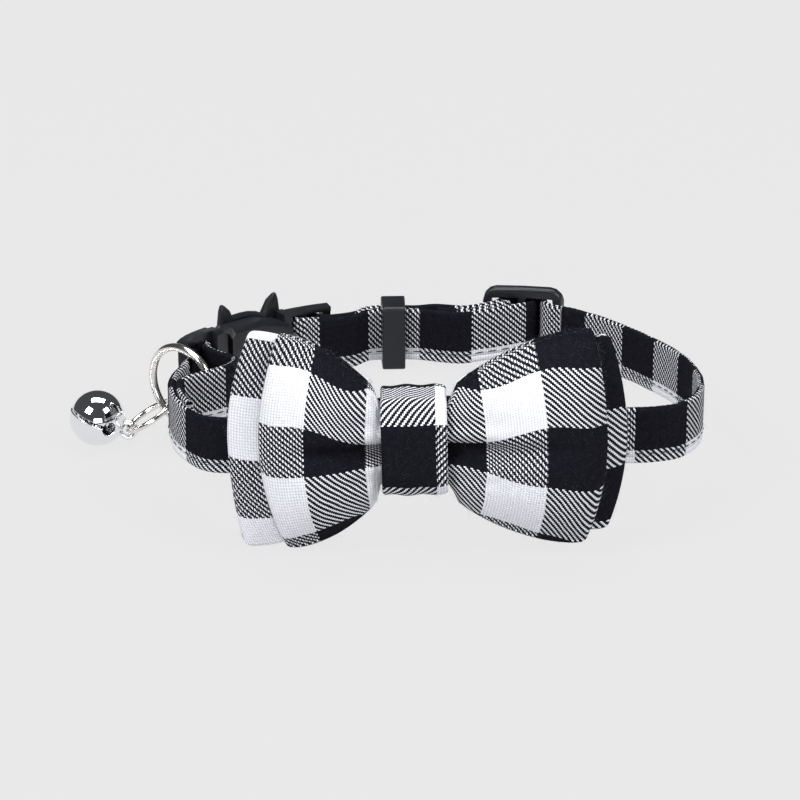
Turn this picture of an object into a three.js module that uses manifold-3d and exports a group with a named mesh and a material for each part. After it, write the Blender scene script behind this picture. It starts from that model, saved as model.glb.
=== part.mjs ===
// A cat's bow tie collar in brushed check cotton, closed and standing on a surface as it would by itself.
// Units are millimetres, +Z is up, +X is the wearer's left and -Y is the front, where the bow is.
// A flat strap makes one loop: folded and sewn round a bar of the buckle's plug, round the neck, woven through
// the slider, folded round a bar of the socket, and back to a sewn fold on the slider's middle bar.
// The bow is two flattened cloth loops, one on the other, gathered with the strap by a knot band.
// The loop of the course is read from above: it starts at the knot and goes left, back, right and forward.
import * as THREE from "three";
import { mergeVertices } from "three/addons/utils/BufferGeometryUtils.js";
import Module from "manifold-3d";

const wasm = await Module();
wasm.setup();

// Driving dimensions.
const CLEARANCE = 0.3; // between pieces that touch on the real collar
const LOOP_WIDTH = 88; // across the loop, on the strap's middle line
const LOOP_DEPTH = 62.4; // back to front, on the strap's middle line
const STRAP_WIDTH = 10;
const STRAP_THICKNESS = 1.2;
const STRAP_EDGE = 0.3; // rounding of the strap's long edges
const LAYER_GAP = 0.25; // between two layers of strap that lie on each other
const SEWN_OVERLAP = 10; // doubled length that is sewn at the plug's fold
const FOLD_TAIL = 27; // from the plug's outer bar to the end of its fold
const RING_SLACK = 9.4; // how far the plug's fold stands in to let the ring through

const PLUG_HEIGHT = 13.2; // outside height of the plug's strap frame
const SOCKET_HEIGHT = 12.2; // outside height of the socket's strap frame
const FRAME_CLEARANCE = 0.25; // between the strap's edges and the rails
const FRAME_BAR = 1.6; // width and thickness of each bar
const FRAME_THICKNESS = 2;
const PLUG_PITCH = 5.6; // from the plug's outer bar to the bar that the strap wraps
const SOCKET_PITCH = 4.9; // the same on the socket
const BUCKLE_LENGTH = 38.2; // outer bar to outer bar
const BUCKLE_START = 0.266; // share of the loop where the plug's outer bar is
const SHOULDER_END = 11.8; // plug's body ends here, from its outer bar
const HEAD_START = 12.9; // the socket's body starts here
const HEAD_TO_BAR = 9.3; // from the socket's outer bar back to its head's end
const FACE_START = 12.6; // the socket's outer face plate starts here
const HEAD_HEIGHT = 13.8;
const HEAD_THICKNESS = 5.4;
const FACE_THICKNESS = 1.5;
const EAR_HEIGHT = 2.4; // above the head's outline
const EAR_WIDTH = 4.6;
const HEAD_CORNER = 0.9; // rounding of the socket's body where the plug enters
const HEAD_TAPER = 2; // how much lower the body is where it meets the strap frame
const WINDOW_LENGTH = 3.6; // opening on the neck side of the head
const WINDOW_HEIGHT = 4.4;
const WINDOW_AT = 4.4; // from the head's end
const PRONG_LENGTH = 8;
const PRONG_HEIGHT = 2.2;
const PRONG_THICKNESS = 1.4;

const KEEPER_WIDTH = 4.2;
const KEEPER_WALL = 0.8; // over and under the strap
const KEEPER_FACE = 1.5; // in front of and behind the strap
const KEEPER_AT = 0.4625;

const SLIDER_LENGTH = 13.9; // along the strap
const SLIDER_HEIGHT = 14.6;
const SLIDER_THICKNESS = 1.9;
const SLIDER_CORNER = 2.2;
const SLIDER_BAR = 1.5;
const SLIDER_AT = 0.5515;
const SLIDER_STANDS_OUT = 2; // of the strap's middle line
const SLIDER_FOLD_TAIL = 9;

const RING_DIAMETER = 14; // of the wire's middle line
const RING_WIRE = 1.4;
const RING_RIDE = 0.75; // between its wire and the strap edge that it hangs on
const RING_AT = -3.8; // from the plug's outer bar
const RING_INWARD = 0.5; // of its middle, from the strap that it hangs on
const RING_TURN = 40; // degrees, of the ring's plane from straight across the collar
const LINK_DIAMETER = 8.8;
const LINK_WIRE = 1;
const LINK_AT = 229; // degrees round the ring, where the link hangs in it
const BELL_DIAMETER = 9.6;
const BELL_WALL = 0.5;
const LINK_HEADING = 194; // degrees in plan, from the ring through the link
const LINK_TILT = 14; // degrees that the link's front side is up
const POLE_HEADING = 178; // degrees in plan, of the bell's mouth from its loop
const POLE_RISE = 23; // degrees that the mouth points up
const SHANK_DIAMETER = 2.6; // of its wire's middle line
const SHANK_WIRE = 0.9;
const SLIT_WIDTH = 0.5;
const SLIT_REACH = 120; // degrees from the mouth's pole to the round end of the slit
const SLIT_HOLE = 2.5; // diameter of the slit's round ends
const SLIT_ROLL = 9; // degrees that the slit is turned about the bell's axis
const PEA_DIAMETER = 2.6;

const PLY = 1.05; // wall of the bow's cloth, a folded double layer
const BOW_HEIGHT = 36;
const BOW_LEAN = 6; // degrees that the bow leans back
const BOW_ROLL = 1.3; // degrees that its right wing stands higher
const FRONT_BOW_LEFT = 24.8; // reach of each wing from the knot's middle
const FRONT_BOW_RIGHT = 30.8;
const BACK_BOW_LEFT = 30;
const BACK_BOW_RIGHT = 34.2;
const KNOT_WIDTH = 10.6;
const KNOT_PLY = 1.1;
const KNOT_HEIGHT = 16;
const KNOT_DROP = 1.6; // how far the knot's middle is under the strap's
const WING_ROOT = 8.4; // the wings' half height just outside the band
const KNOT_FRONT_ROUND = 3.4;
const KNOT_BACK_ROUND = 1.4;
const BACK_BOW_DROP = 0.5; // how far the back loop sits under the front one
const CREASE_WIDTH = 1.6;
const TIP_CORNER = 1.6; // rounding of the wings' corners
const WING_PUFF_FRONT = 4.6; // the most hollow between a loop's two walls
const WING_PUFF_BACK = 2.8;
const KNOT_PUFF_FRONT = 3; // the same where the knot gathers it
const KNOT_PUFF_BACK = 0.3;
const CREASE_DEPTH = 3.3; // of the fold that runs out from the knot along each wing
const WING_SWEEP = 1.7; // forward at the wing's end, along the strap behind it

// The strap's course: shares of half the loop's width and depth, and of the strap's rise to the front.
const COURSE = [
  { across: -0.09, along: -1.1, rise: 1.0 },
  { across: -0.455, along: -1.105, rise: 0.86 },
  { across: -0.75, along: -1.1, rise: 0.69 },
  { across: -0.884, along: -1.02, rise: 0.65 },
  { across: -0.954, along: -0.79, rise: 0.62 },
  { across: -0.989, along: -0.519, rise: 0.59 },
  { across: -0.993, along: -0.215, rise: 0.5 },
  { across: -0.97, along: 0.058, rise: 0.4 },
  { across: -0.842, along: 0.375, rise: 0.26 },
  { across: -0.624, along: 0.74, rise: 0.085 },
  { across: -0.418, along: 0.93, rise: 0.01 },
  { across: -0.182, along: 0.98, rise: 0 },
  { across: 0.091, along: 0.98, rise: 0.01 },
  { across: 0.216, along: 0.965, rise: 0.09 },
  { across: 0.364, along: 0.92, rise: 0.13 },
  { across: 0.507, along: 0.85, rise: 0.16 },
  { across: 0.655, along: 0.68, rise: 0.19 },
  { across: 0.817, along: 0.365, rise: 0.27 },
  { across: 0.944, along: -0.02, rise: 0.4 },
  { across: 0.992, along: -0.38, rise: 0.53 },
  { across: 0.98, along: -0.7, rise: 0.64 },
  { across: 0.898, along: -0.92, rise: 0.7 },
  { across: 0.75, along: -1.025, rise: 0.75 },
  { across: 0.5, along: -1.075, rise: 0.84 },
  { across: 0.205, along: -1.095, rise: 0.95 },
];

// Columns of a wing from the knot's edge to its end, as shares of the way.
const WING_COLUMNS = [0, 0.03, 0.1, 0.23, 0.4, 0.58, 0.75, 0.88, 0.965, 1];
// Rows of a wing, as shares of its half height; they crowd at the crease.
const WING_ROWS = [-1, -0.92, -0.7, -0.4, -0.15, 0, 0.15, 0.4, 0.7, 0.92, 1];

const CLOTH = new THREE.MeshStandardMaterial({ color: 0x6b6c74, roughness: 0.95, metalness: 0 });
const PLASTIC = new THREE.MeshStandardMaterial({ color: 0x17181b, roughness: 0.45, metalness: 0 });
const NICKEL = new THREE.MeshStandardMaterial({ color: 0xd9d6cf, roughness: 0.18, metalness: 1 });
const CHROME = new THREE.MeshStandardMaterial({ color: 0xe8e9ee, roughness: 0.05, metalness: 1 });

const radians = THREE.MathUtils.degToRad;
const mix = THREE.MathUtils.lerp;

// Mesh building.

// A closed body from points and quads, turned so that its faces point out.
function bodyFrom(points, quads) {
  const triangles = quads.flatMap(([a, b, c, d]) => (d === undefined ? [[a, b, c]] : [[a, b, c], [a, c, d]]));
  let volume = 0;
  for (const [a, b, c] of triangles) volume += points[a].dot(points[b].clone().cross(points[c]));
  const geometry = new THREE.BufferGeometry();
  geometry.setAttribute("position", new THREE.Float32BufferAttribute(points.flatMap((p) => p.toArray()), 3));
  geometry.setIndex(triangles.flatMap(([a, b, c]) => (volume < 0 ? [a, c, b] : [a, b, c])));
  return geometry;
}

// A solid through sections that all have the same number of points, closed at both ends.
function loft(sections) {
  const count = sections[0].length;
  const points = sections.flat();
  const quads = [];
  for (let i = 0; i < sections.length - 1; i++) {
    for (let j = 0; j < count; j++) {
      const next = (j + 1) % count;
      quads.push([i * count + j, i * count + next, (i + 1) * count + next, (i + 1) * count + j]);
    }
  }
  for (const [section, start] of [[sections[0], 0], [sections.at(-1), (sections.length - 1) * count]]) {
    const middle = section.reduce((sum, p) => sum.add(p), new THREE.Vector3()).divideScalar(count);
    const hub = points.push(middle) - 1;
    for (let j = 0; j < count; j++) {
      const pair = [start + j, start + ((j + 1) % count)];
      quads.push(start === 0 ? [hub, pair[1], pair[0]] : [hub, pair[0], pair[1]]);
    }
  }
  return bodyFrom(points, quads);
}

// A wall round a hollow that is open at both ends: rows of closed loops outside, and the same rows inside.
function loopWall(outer, inner) {
  const rows = outer.length;
  const count = outer[0].length;
  const points = [...outer.flat(), ...inner.flat()];
  const at = (side, i, j) => side * rows * count + i * count + (j % count);
  const quads = [];
  for (let i = 0; i < rows - 1; i++) {
    for (let j = 0; j < count; j++) {
      quads.push([at(0, i, j), at(0, i, j + 1), at(0, i + 1, j + 1), at(0, i + 1, j)]);
      quads.push([at(1, i, j), at(1, i + 1, j), at(1, i + 1, j + 1), at(1, i, j + 1)]);
    }
  }
  for (let j = 0; j < count; j++) {
    quads.push([at(0, 0, j), at(1, 0, j), at(1, 0, j + 1), at(0, 0, j + 1)]);
    quads.push([at(0, rows - 1, j), at(0, rows - 1, j + 1), at(1, rows - 1, j + 1), at(1, rows - 1, j)]);
  }
  return bodyFrom(points, quads);
}

// A rectangle's outline with its corners cut, as pairs.
function cutRectangle(halfA, halfB, cut) {
  const a = halfA - cut;
  const b = halfB - cut;
  return [[halfA, -b], [halfA, b], [a, halfB], [-a, halfB], [-halfA, b], [-halfA, -b], [-a, -halfB], [a, -halfB]];
}

function solidOf(geometry) {
  const bare = new THREE.BufferGeometry().setAttribute("position", geometry.getAttribute("position").clone());
  bare.setIndex(geometry.index);
  const merged = mergeVertices(bare, 1e-4);
  return new wasm.Manifold(
    new wasm.Mesh({
      numProp: 3,
      vertProperties: merged.attributes.position.array,
      triVerts: new Uint32Array(merged.index.array),
    }),
  );
}

function geometryOf(solid) {
  const made = solid.getMesh();
  const geometry = new THREE.BufferGeometry();
  geometry.setAttribute("position", new THREE.BufferAttribute(new Float32Array(made.vertProperties), 3));
  geometry.setIndex(new THREE.BufferAttribute(new Uint32Array(made.triVerts), 1));
  return geometry;
}

function join(...geometries) {
  return geometryOf(geometries.map(solidOf).reduce((sum, solid) => sum.add(solid)));
}

function cut(geometry, ...tools) {
  return geometryOf(tools.map(solidOf).reduce((left, tool) => left.subtract(tool), solidOf(geometry)));
}

function meshOf(name, geometry, material) {
  const plain = geometry.clone();
  plain.deleteAttribute("uv");
  plain.deleteAttribute("normal");
  plain.computeVertexNormals();
  const mesh = new THREE.Mesh(plain, material);
  mesh.name = name;
  return mesh;
}

// The bow, in its own frame: origin at the strap's middle under the knot, X to the right, Y back, Z up.

const BOW_HALF = BOW_HEIGHT / 2;
const KNOT_HALF_WIDTH = KNOT_WIDTH / 2;
const GATHERED_HALF = KNOT_HEIGHT / 2 - KNOT_PLY - CLEARANCE - 0.2; // the wing's half height inside the band
const KNOT_EDGE = KNOT_HALF_WIDTH + 0.45; // the wings flare from here
// the strap stands upright in the leaning bow
const STRAP_FACE = STRAP_THICKNESS / 2 + (STRAP_WIDTH / 2 + 0.5) * Math.tan(THREE.MathUtils.degToRad(BOW_LEAN));

const BACK_BOW = {
  left: BACK_BOW_LEFT,
  right: BACK_BOW_RIGHT,
  halfLeft: BOW_HALF * 1.01,
  halfRight: BOW_HALF * 0.915,
  wingPuff: WING_PUFF_BACK,
  knotPuff: KNOT_PUFF_BACK,
  drop: BACK_BOW_DROP,
  gathered: GATHERED_HALF * 0.88,
  // how much shorter each wing is at its corners: lower, upper
  leftCorners: [1.7, 3.5],
  rightCorners: [2.6, 2.2],
};
const FRONT_BOW = {
  left: FRONT_BOW_LEFT,
  right: FRONT_BOW_RIGHT,
  halfLeft: BOW_HALF,
  halfRight: BOW_HALF,
  wingPuff: WING_PUFF_FRONT,
  knotPuff: KNOT_PUFF_FRONT,
  drop: 0,
  gathered: GATHERED_HALF,
  leftCorners: [3.3, 3],
  rightCorners: [2.9, 1.7],
};

// How far out of the knot a place on a wing is, from 0 at the band's edge to 1 at the wing's end.
function outOfKnot(x, reach) {
  return THREE.MathUtils.clamp((Math.abs(x) - KNOT_EDGE) / (reach - KNOT_EDGE), 0, 1);
}

function wingHalfHeight(bow, x) {
  const reach = x < 0 ? bow.left : bow.right;
  const tip = x < 0 ? bow.halfLeft : bow.halfRight;
  const flare = Math.sin((Math.PI / 2) * outOfKnot(x, reach) ** 0.8);
  const overCorner = Math.max(0, Math.abs(x) - (reach - TIP_CORNER));
  const corner = TIP_CORNER - Math.sqrt(TIP_CORNER ** 2 - Math.min(overCorner, TIP_CORNER) ** 2);
  const root = mix(bow.gathered, WING_ROOT, THREE.MathUtils.smoothstep(outOfKnot(x, reach), 0, 0.05));
  return mix(root, tip, flare) - corner;
}

// The hollow of a loop: small in the knot, full in the wing, closing towards its top and bottom rims.
function puff(bow, x, height) {
  const reach = x < 0 ? bow.left : bow.right;
  const share = Math.min(1, Math.abs(x) / reach);
  const filled = mix(bow.knotPuff, bow.wingPuff, Math.sin(Math.PI * Math.min(0.5, 1.1 * outOfKnot(x, reach))));
  return filled * (1 - 0.8 * Math.min(1, height) ** 3) * Math.sqrt(1 - 0.9 * share ** 8);
}

function sweepForward(x) {
  return WING_SWEEP * Math.min(1, Math.abs(x) / BACK_BOW_LEFT) ** 1.5;
}

// How far a wing's middle is under the strap's: the knot draws it down.
function middleDrop(bow, x) {
  return mix(KNOT_DROP, bow.drop, outOfKnot(x, x < 0 ? bow.left : bow.right));
}

// Distance forward of the strap's middle plane to the back of a bow's back wall.
function bowBack(bow, x, height) {
  const behind = STRAP_FACE + CLEARANCE + sweepForward(x);
  if (bow === BACK_BOW) return behind;
  return behind + 2 * PLY + puff(BACK_BOW, x, height) + CLEARANCE;
}

function crease(bow, x, z) {
  if (bow === BACK_BOW) return 0;
  const reach = x < 0 ? bow.left : bow.right;
  const run = 1 - THREE.MathUtils.smoothstep(outOfKnot(x, reach), 0.1, 0.95);
  const depth = Math.min(CREASE_DEPTH, 0.8 * puff(bow, x, 0));
  return depth * run * Math.exp(-((z / CREASE_WIDTH) ** 2));
}

// One loop of the bow: its front and back walls meet in a soft fold at the end of each wing.
function bowLoop(bow) {
  const columns = [];
  for (const [side, reach] of [[1, bow.right], [-1, bow.left]]) {
    const outward = [...(side > 0 ? [0] : []), ...WING_COLUMNS.map((share) => mix(KNOT_EDGE, reach, share) / reach)];
    for (const share of outward) columns.push({ x: side * share * reach, share, reach, side });
  }
  const rightWing = columns.filter((c) => c.side > 0);
  const leftWing = columns.filter((c) => c.side < 0).reverse();
  const front = [...leftWing, ...rightWing];
  const back = [...front].reverse().slice(1, -1);
  const loop = [...front.map((c) => ({ ...c, face: 1 })), ...back.map((c) => ({ ...c, face: 0 }))];
  const point = (column, row, inset) => {
    const height = wingHalfHeight(bow, column.x);
    const z = row * height;
    const share = Math.abs(row);
    const rear = bowBack(bow, column.x, share);
    const hollow = puff(bow, column.x, share);
    const full = 2 * PLY + hollow;
    const nose = Math.sqrt(1 - column.share ** 10);
    const middle = rear + full / 2;
    const half = Math.max(0.06, (full / 2 - inset) * nose);
    const fold = column.face ? crease(bow, column.x, z) : 0;
    const corners = column.side < 0 ? bow.leftCorners : bow.rightCorners;
    const shorter = corners[row < 0 ? 0 : 1] * share ** 2 * column.share ** 3;
    const x = column.side * column.share * (column.reach - shorter - 1.4 * inset);
    const forward = middle + (column.face ? half - fold : -half);
    return new THREE.Vector3(x, -forward, z - middleDrop(bow, column.x));
  };
  const outer = WING_ROWS.map((row) => loop.map((column) => point(column, row, 0)));
  const inner = WING_ROWS.map((row) => loop.map((column) => point(column, row, PLY)));
  return loopWall(outer, inner);
}

// The band round the knot: a rounded oblong that holds both bows and the strap, rolled at its two edges.
function knotBand() {
  const reach = bowBack(FRONT_BOW, 0, 0) + 2 * PLY + KNOT_PUFF_FRONT + CLEARANCE;
  const rear = -(STRAP_FACE + CLEARANCE);
  const halfDepth = (reach - rear) / 2;
  const middle = (reach + rear) / 2;
  const halfHeight = KNOT_HEIGHT / 2 - KNOT_PLY;
  const outline = [];
  const steps = 5;
  for (const [forward, up] of [[1, 1], [-1, 1], [-1, -1], [1, -1]]) {
    const round = forward > 0 ? KNOT_FRONT_ROUND : KNOT_BACK_ROUND;
    for (let i = 0; i <= steps; i++) {
      const turn = (forward * up > 0 ? i : steps - i) / steps;
      const angle = (Math.PI / 2) * turn;
      const away = { d: forward * Math.cos(angle), z: up * Math.sin(angle) };
      outline.push({
        d: middle + forward * (halfDepth - round) + round * away.d,
        z: up * (halfHeight - round) + round * away.z,
        away,
      });
    }
  }
  const rows = [
    { x: -1, thick: 0.55 },
    { x: -0.94, thick: 0.9 },
    { x: -0.8, thick: 1 },
    { x: 0, thick: 1.12 },
    { x: 0.8, thick: 1 },
    { x: 0.94, thick: 0.9 },
    { x: 1, thick: 0.55 },
  ];
  const ring = (row, thickness) =>
    outline.map(
      (p) =>
        new THREE.Vector3(
          row.x * KNOT_HALF_WIDTH,
          -(p.d + p.away.d * thickness),
          p.z + p.away.z * thickness - KNOT_DROP,
        ),
    );
  const outer = rows.map((row) => ring(row, KNOT_PLY * row.thick));
  const inner = rows.map((row) => ring(row, 0));
  return loopWall(outer, inner);
}

const bow = new THREE.Group();
bow.add(meshOf("bow_back", bowLoop(BACK_BOW), CLOTH));
bow.add(meshOf("bow_front", bowLoop(FRONT_BOW), CLOTH));
bow.add(meshOf("bow_knot", knotBand(), CLOTH));
bow.rotation.set(-radians(BOW_LEAN), -radians(BOW_ROLL), 0);
bow.updateMatrixWorld(true);

// The collar stands on the keeper at the back and on the bow in front, so these two heights give the rise.
const BACK_HEIGHT = KEEPER_WALL + CLEARANCE;
const BOW_DROP = -new THREE.Box3().setFromObject(bow, true).min.z;
const STRAP_RISE = BOW_DROP - STRAP_WIDTH / 2 - BACK_HEIGHT;

// The course: a closed curve on the strap's lower edge.
const course = new THREE.CatmullRomCurve3(
  COURSE.map(
    ({ across, along, rise }) =>
      new THREE.Vector3((across * LOOP_WIDTH) / 2, (along * LOOP_DEPTH) / 2, BACK_HEIGHT + rise * STRAP_RISE),
  ),
  true,
  "centripetal",
);
course.arcLengthDivisions = 800;
const LOOP_LENGTH = course.getLength();

// A point given by its run along the course, its distance out of it, and its height over the strap's middle.
function place(run, out, height) {
  const share = (((run / LOOP_LENGTH) % 1) + 1) % 1;
  const point = course.getPointAt(share);
  const tangent = course.getTangentAt(share).setZ(0).normalize();
  return new THREE.Vector3(
    point.x - tangent.y * out,
    point.y + tangent.x * out,
    point.z + STRAP_WIDTH / 2 + height,
  );
}

// A box in course measures, stepped along its run so that it follows the curve.
function courseBox(runs, outs, heights) {
  const [length, depth, height] = [runs, outs, heights].map(([a, b]) => b - a);
  const box = new THREE.BoxGeometry(length, depth, height, Math.max(1, Math.ceil(length / 2.5)), 1, 1);
  const spots = box.getAttribute("position");
  for (let i = 0; i < spots.count; i++) {
    const p = place(
      (runs[0] + runs[1]) / 2 + spots.getX(i),
      (outs[0] + outs[1]) / 2 + spots.getY(i),
      (heights[0] + heights[1]) / 2 + spots.getZ(i),
    );
    spots.setXYZ(i, p.x, p.y, p.z);
  }
  return box;
}

// A solid along the course whose half height changes from one station to the next.
function coursePad(stations, outs, rounding) {
  const half = (outs[1] - outs[0]) / 2;
  const middle = (outs[0] + outs[1]) / 2;
  const sections = stations.map(({ run, half: tall }) =>
    cutRectangle(half, tall, rounding).map(([out, up]) => place(run, middle + out, up)),
  );
  return loft(sections);
}

// The buckle.

const plugBar = BUCKLE_START * LOOP_LENGTH;
const plugWrapBar = plugBar + PLUG_PITCH;
const socketBar = plugBar + BUCKLE_LENGTH;
const socketWrapBar = socketBar - SOCKET_PITCH;
const headEnd = socketBar - HEAD_TO_BAR;
const frameInside = STRAP_WIDTH / 2 + FRAME_CLEARANCE;
const halfBar = FRAME_BAR / 2;
const halfFrame = FRAME_THICKNESS / 2;
const halfHead = HEAD_THICKNESS / 2;
const foldReach = halfBar + STRAP_THICKNESS + 2 * CLEARANCE + 0.5; // from a wrapped bar past the strap's fold
const prongReach = HEAD_HEIGHT / 2 - 0.6 - 1.6 - CLEARANCE; // half the width over both prongs

// A strap frame: two rails, an outer bar and the bar that the strap wraps.
function strapFrame(outerBar, wrapBar, railEnd, height) {
  const end = outerBar + Math.sign(outerBar - wrapBar) * halfBar;
  const run = [Math.min(end, railEnd), Math.max(end, railEnd)];
  const reach = (frameInside + height / 2) / 2;
  return [
    courseBox(run, [-halfFrame, halfFrame], [frameInside, height / 2]),
    courseBox(run, [-halfFrame, halfFrame], [-height / 2, -frameInside]),
    courseBox([outerBar - halfBar, outerBar + halfBar], [-halfBar, halfBar], [-reach, reach]),
    courseBox([wrapBar - halfBar, wrapBar + halfBar], [-halfBar, halfBar], [-reach, reach]),
  ];
}

function headOutline(from, to, half, power) {
  const steps = 12;
  return Array.from({ length: steps + 1 }, (_, i) => {
    const share = -Math.cos((Math.PI * i) / steps);
    const fall = (1 - Math.abs(share * 0.985) ** power) ** (1 / power);
    return { run: mix(from, to, (share + 1) / 2), half: half * fall };
  });
}

function buckleSocket() {
  const faceBack = halfHead - FACE_THICKNESS;
  const face = coursePad(
    headOutline(plugBar + FACE_START, headEnd, HEAD_HEIGHT / 2, 2.6),
    [faceBack, halfHead],
    0.5,
  );
  const bodyStart = plugBar + HEAD_START;
  const bodyEnd = headEnd + 0.6;
  const bodyHalf = HEAD_HEIGHT / 2 - 0.6;
  const body = coursePad(
    [
      { run: bodyStart, half: bodyHalf - HEAD_CORNER },
      { run: bodyStart + HEAD_CORNER, half: bodyHalf },
      { run: mix(bodyStart, bodyEnd, 0.55), half: bodyHalf },
      { run: mix(bodyStart, bodyEnd, 0.85), half: bodyHalf - HEAD_TAPER / 2 },
      { run: bodyEnd, half: bodyHalf - HEAD_TAPER },
    ],
    [-halfHead, faceBack + 0.2],
    0.8,
  );
  const neck = courseBox(
    [bodyEnd - 1, socketWrapBar - foldReach],
    [-halfFrame - 0.4, halfFrame + 0.4],
    [-SOCKET_HEIGHT / 2, SOCKET_HEIGHT / 2],
  );
  const cavity = courseBox(
    [bodyStart - 1, plugBar + SHOULDER_END + PRONG_LENGTH + 1.5],
    [-PRONG_THICKNESS / 2 - CLEARANCE, PRONG_THICKNESS / 2 + CLEARANCE],
    [-prongReach - CLEARANCE, prongReach + CLEARANCE],
  );
  const windowRun = headEnd - WINDOW_AT;
  const window = courseBox(
    [windowRun - WINDOW_LENGTH / 2, windowRun + WINDOW_LENGTH / 2],
    [-halfHead - 1, 0],
    [-WINDOW_HEIGHT / 2, WINDOW_HEIGHT / 2],
  );
  const ears = [-1, 1].map((side) => {
    const middle = plugBar + mix(FACE_START, headEnd - plugBar, side < 0 ? 0.27 : 0.93);
    const levels = [
      { up: HEAD_HEIGHT / 2 - 3, half: EAR_WIDTH / 2, deep: FACE_THICKNESS / 2, lean: 0 },
      { up: HEAD_HEIGHT / 2 - 1, half: EAR_WIDTH / 2 - 0.4, deep: FACE_THICKNESS / 2, lean: 0.1 },
      { up: HEAD_HEIGHT / 2 + EAR_HEIGHT * 0.5, half: EAR_WIDTH / 4, deep: 0.6, lean: 0.6 },
      { up: HEAD_HEIGHT / 2 + EAR_HEIGHT * 0.9, half: 0.45, deep: 0.4, lean: 1.05 },
      { up: HEAD_HEIGHT / 2 + EAR_HEIGHT, half: 0.2, deep: 0.2, lean: 1.15 },
    ];
    return loft(
      levels.map(({ up, half, deep, lean }) =>
        cutRectangle(half, deep, Math.min(half, deep) * 0.5).map(([along, out]) =>
          place(middle + side * lean + along, (faceBack + halfHead) / 2 + out, up),
        ),
      ),
    );
  });
  const frame = strapFrame(socketBar, socketWrapBar, bodyEnd - 0.8, SOCKET_HEIGHT);
  return cut(join(face, body, neck, ...frame, ...ears), cavity, window);
}

function bucklePlug() {
  const shoulderEnd = plugBar + SHOULDER_END;
  const shoulder = coursePad(
    [
      { run: plugWrapBar + foldReach, half: PLUG_HEIGHT / 2 },
      { run: shoulderEnd - 0.8, half: PLUG_HEIGHT / 2 },
      { run: shoulderEnd, half: PLUG_HEIGHT / 2 - 0.6 },
    ],
    [-halfHead + 0.3, halfHead - FACE_THICKNESS - CLEARANCE],
    0.5,
  );
  const prongs = [-1, 1].map((side) => {
    const inner = side * (prongReach - PRONG_HEIGHT);
    const outer = side * prongReach;
    return courseBox(
      [shoulderEnd - 1, shoulderEnd + PRONG_LENGTH],
      [-PRONG_THICKNESS / 2, PRONG_THICKNESS / 2],
      [Math.min(inner, outer), Math.max(inner, outer)],
    );
  });
  return join(...strapFrame(plugBar, plugWrapBar, shoulderEnd - 2, PLUG_HEIGHT), shoulder, ...prongs);
}

// The slider: an oblong with round corners and two slots, so that it has a middle bar.

const sliderMiddle = SLIDER_AT * LOOP_LENGTH;
const halfSlider = SLIDER_LENGTH / 2;
const sliderOut = [SLIDER_STANDS_OUT - SLIDER_THICKNESS / 2, SLIDER_STANDS_OUT + SLIDER_THICKNESS / 2];
const sliderEndBar = halfSlider - SLIDER_BAR / 2;

function slider() {
  const tall = SLIDER_HEIGHT / 2;
  const rounds = [0, 0.35, 0.7, 1].map((turn) => {
    const angle = (Math.PI / 2) * turn;
    return {
      from: SLIDER_CORNER * (1 - Math.cos(angle)),
      half: tall - SLIDER_CORNER * (1 - Math.sin(angle)),
    };
  });
  const stations = [
    ...rounds.map(({ from, half }) => ({ run: sliderMiddle - halfSlider + from, half })),
    { run: sliderMiddle, half: tall },
    ...rounds.map(({ from, half }) => ({ run: sliderMiddle + halfSlider - from, half })).reverse(),
  ];
  const plate = coursePad(stations, sliderOut, 0.4);
  const slotHalf = STRAP_WIDTH / 2 + CLEARANCE;
  const slots = [-1, 1].map((side) => {
    const ends = [side * (SLIDER_BAR / 2), side * (halfSlider - SLIDER_BAR)].sort((a, b) => a - b);
    return courseBox(
      [sliderMiddle + ends[0], sliderMiddle + ends[1]],
      [sliderOut[0] - 1, sliderOut[1] + 1],
      [-slotHalf, slotHalf],
    );
  });
  return cut(plate, ...slots);
}

// The keeper: a short sleeve round both layers of strap.

const keeperMiddle = KEEPER_AT * LOOP_LENGTH;
const layerOut = STRAP_THICKNESS / 2 + LAYER_GAP / 2; // of each layer's middle, where two lie together

function keeper() {
  const insideOut = layerOut + STRAP_THICKNESS / 2 + CLEARANCE;
  const insideUp = STRAP_WIDTH / 2 + CLEARANCE;
  const run = [keeperMiddle - KEEPER_WIDTH / 2, keeperMiddle + KEEPER_WIDTH / 2];
  const sleeve = coursePad(
    run.map((at) => ({ run: at, half: insideUp + KEEPER_WALL })),
    [-insideOut - KEEPER_FACE, insideOut + KEEPER_FACE],
    0.45,
  );
  return cut(sleeve, courseBox([run[0] - 1, run[1] + 1], [-insideOut, insideOut], [-insideUp, insideUp]));
}

// The strap's way through the hardware, as points of run and distance out.

// Points round a bar from one face to the other: turn is +1 where the strap passes beyond the bar.
function wrapRound(bar, out, radius, startFace, turn) {
  const steps = 6;
  return Array.from({ length: steps + 1 }, (_, i) => {
    const angle = (Math.PI * i) / steps;
    return [bar + turn * radius * Math.sin(angle), out + startFace * radius * Math.cos(angle)];
  });
}

// The straight way from one face of a bar to the other face of the next, touching a radius round each.
function crossOver(from, to, out, [near, far], startFace) {
  const way = Math.sign(to - from);
  const lean = Math.asin((near + far) / Math.abs(to - from));
  return [
    [from + way * near * Math.sin(lean), out + startFace * near * Math.cos(lean)],
    [to - way * far * Math.sin(lean), out - startFace * far * Math.cos(lean)],
  ];
}

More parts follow.
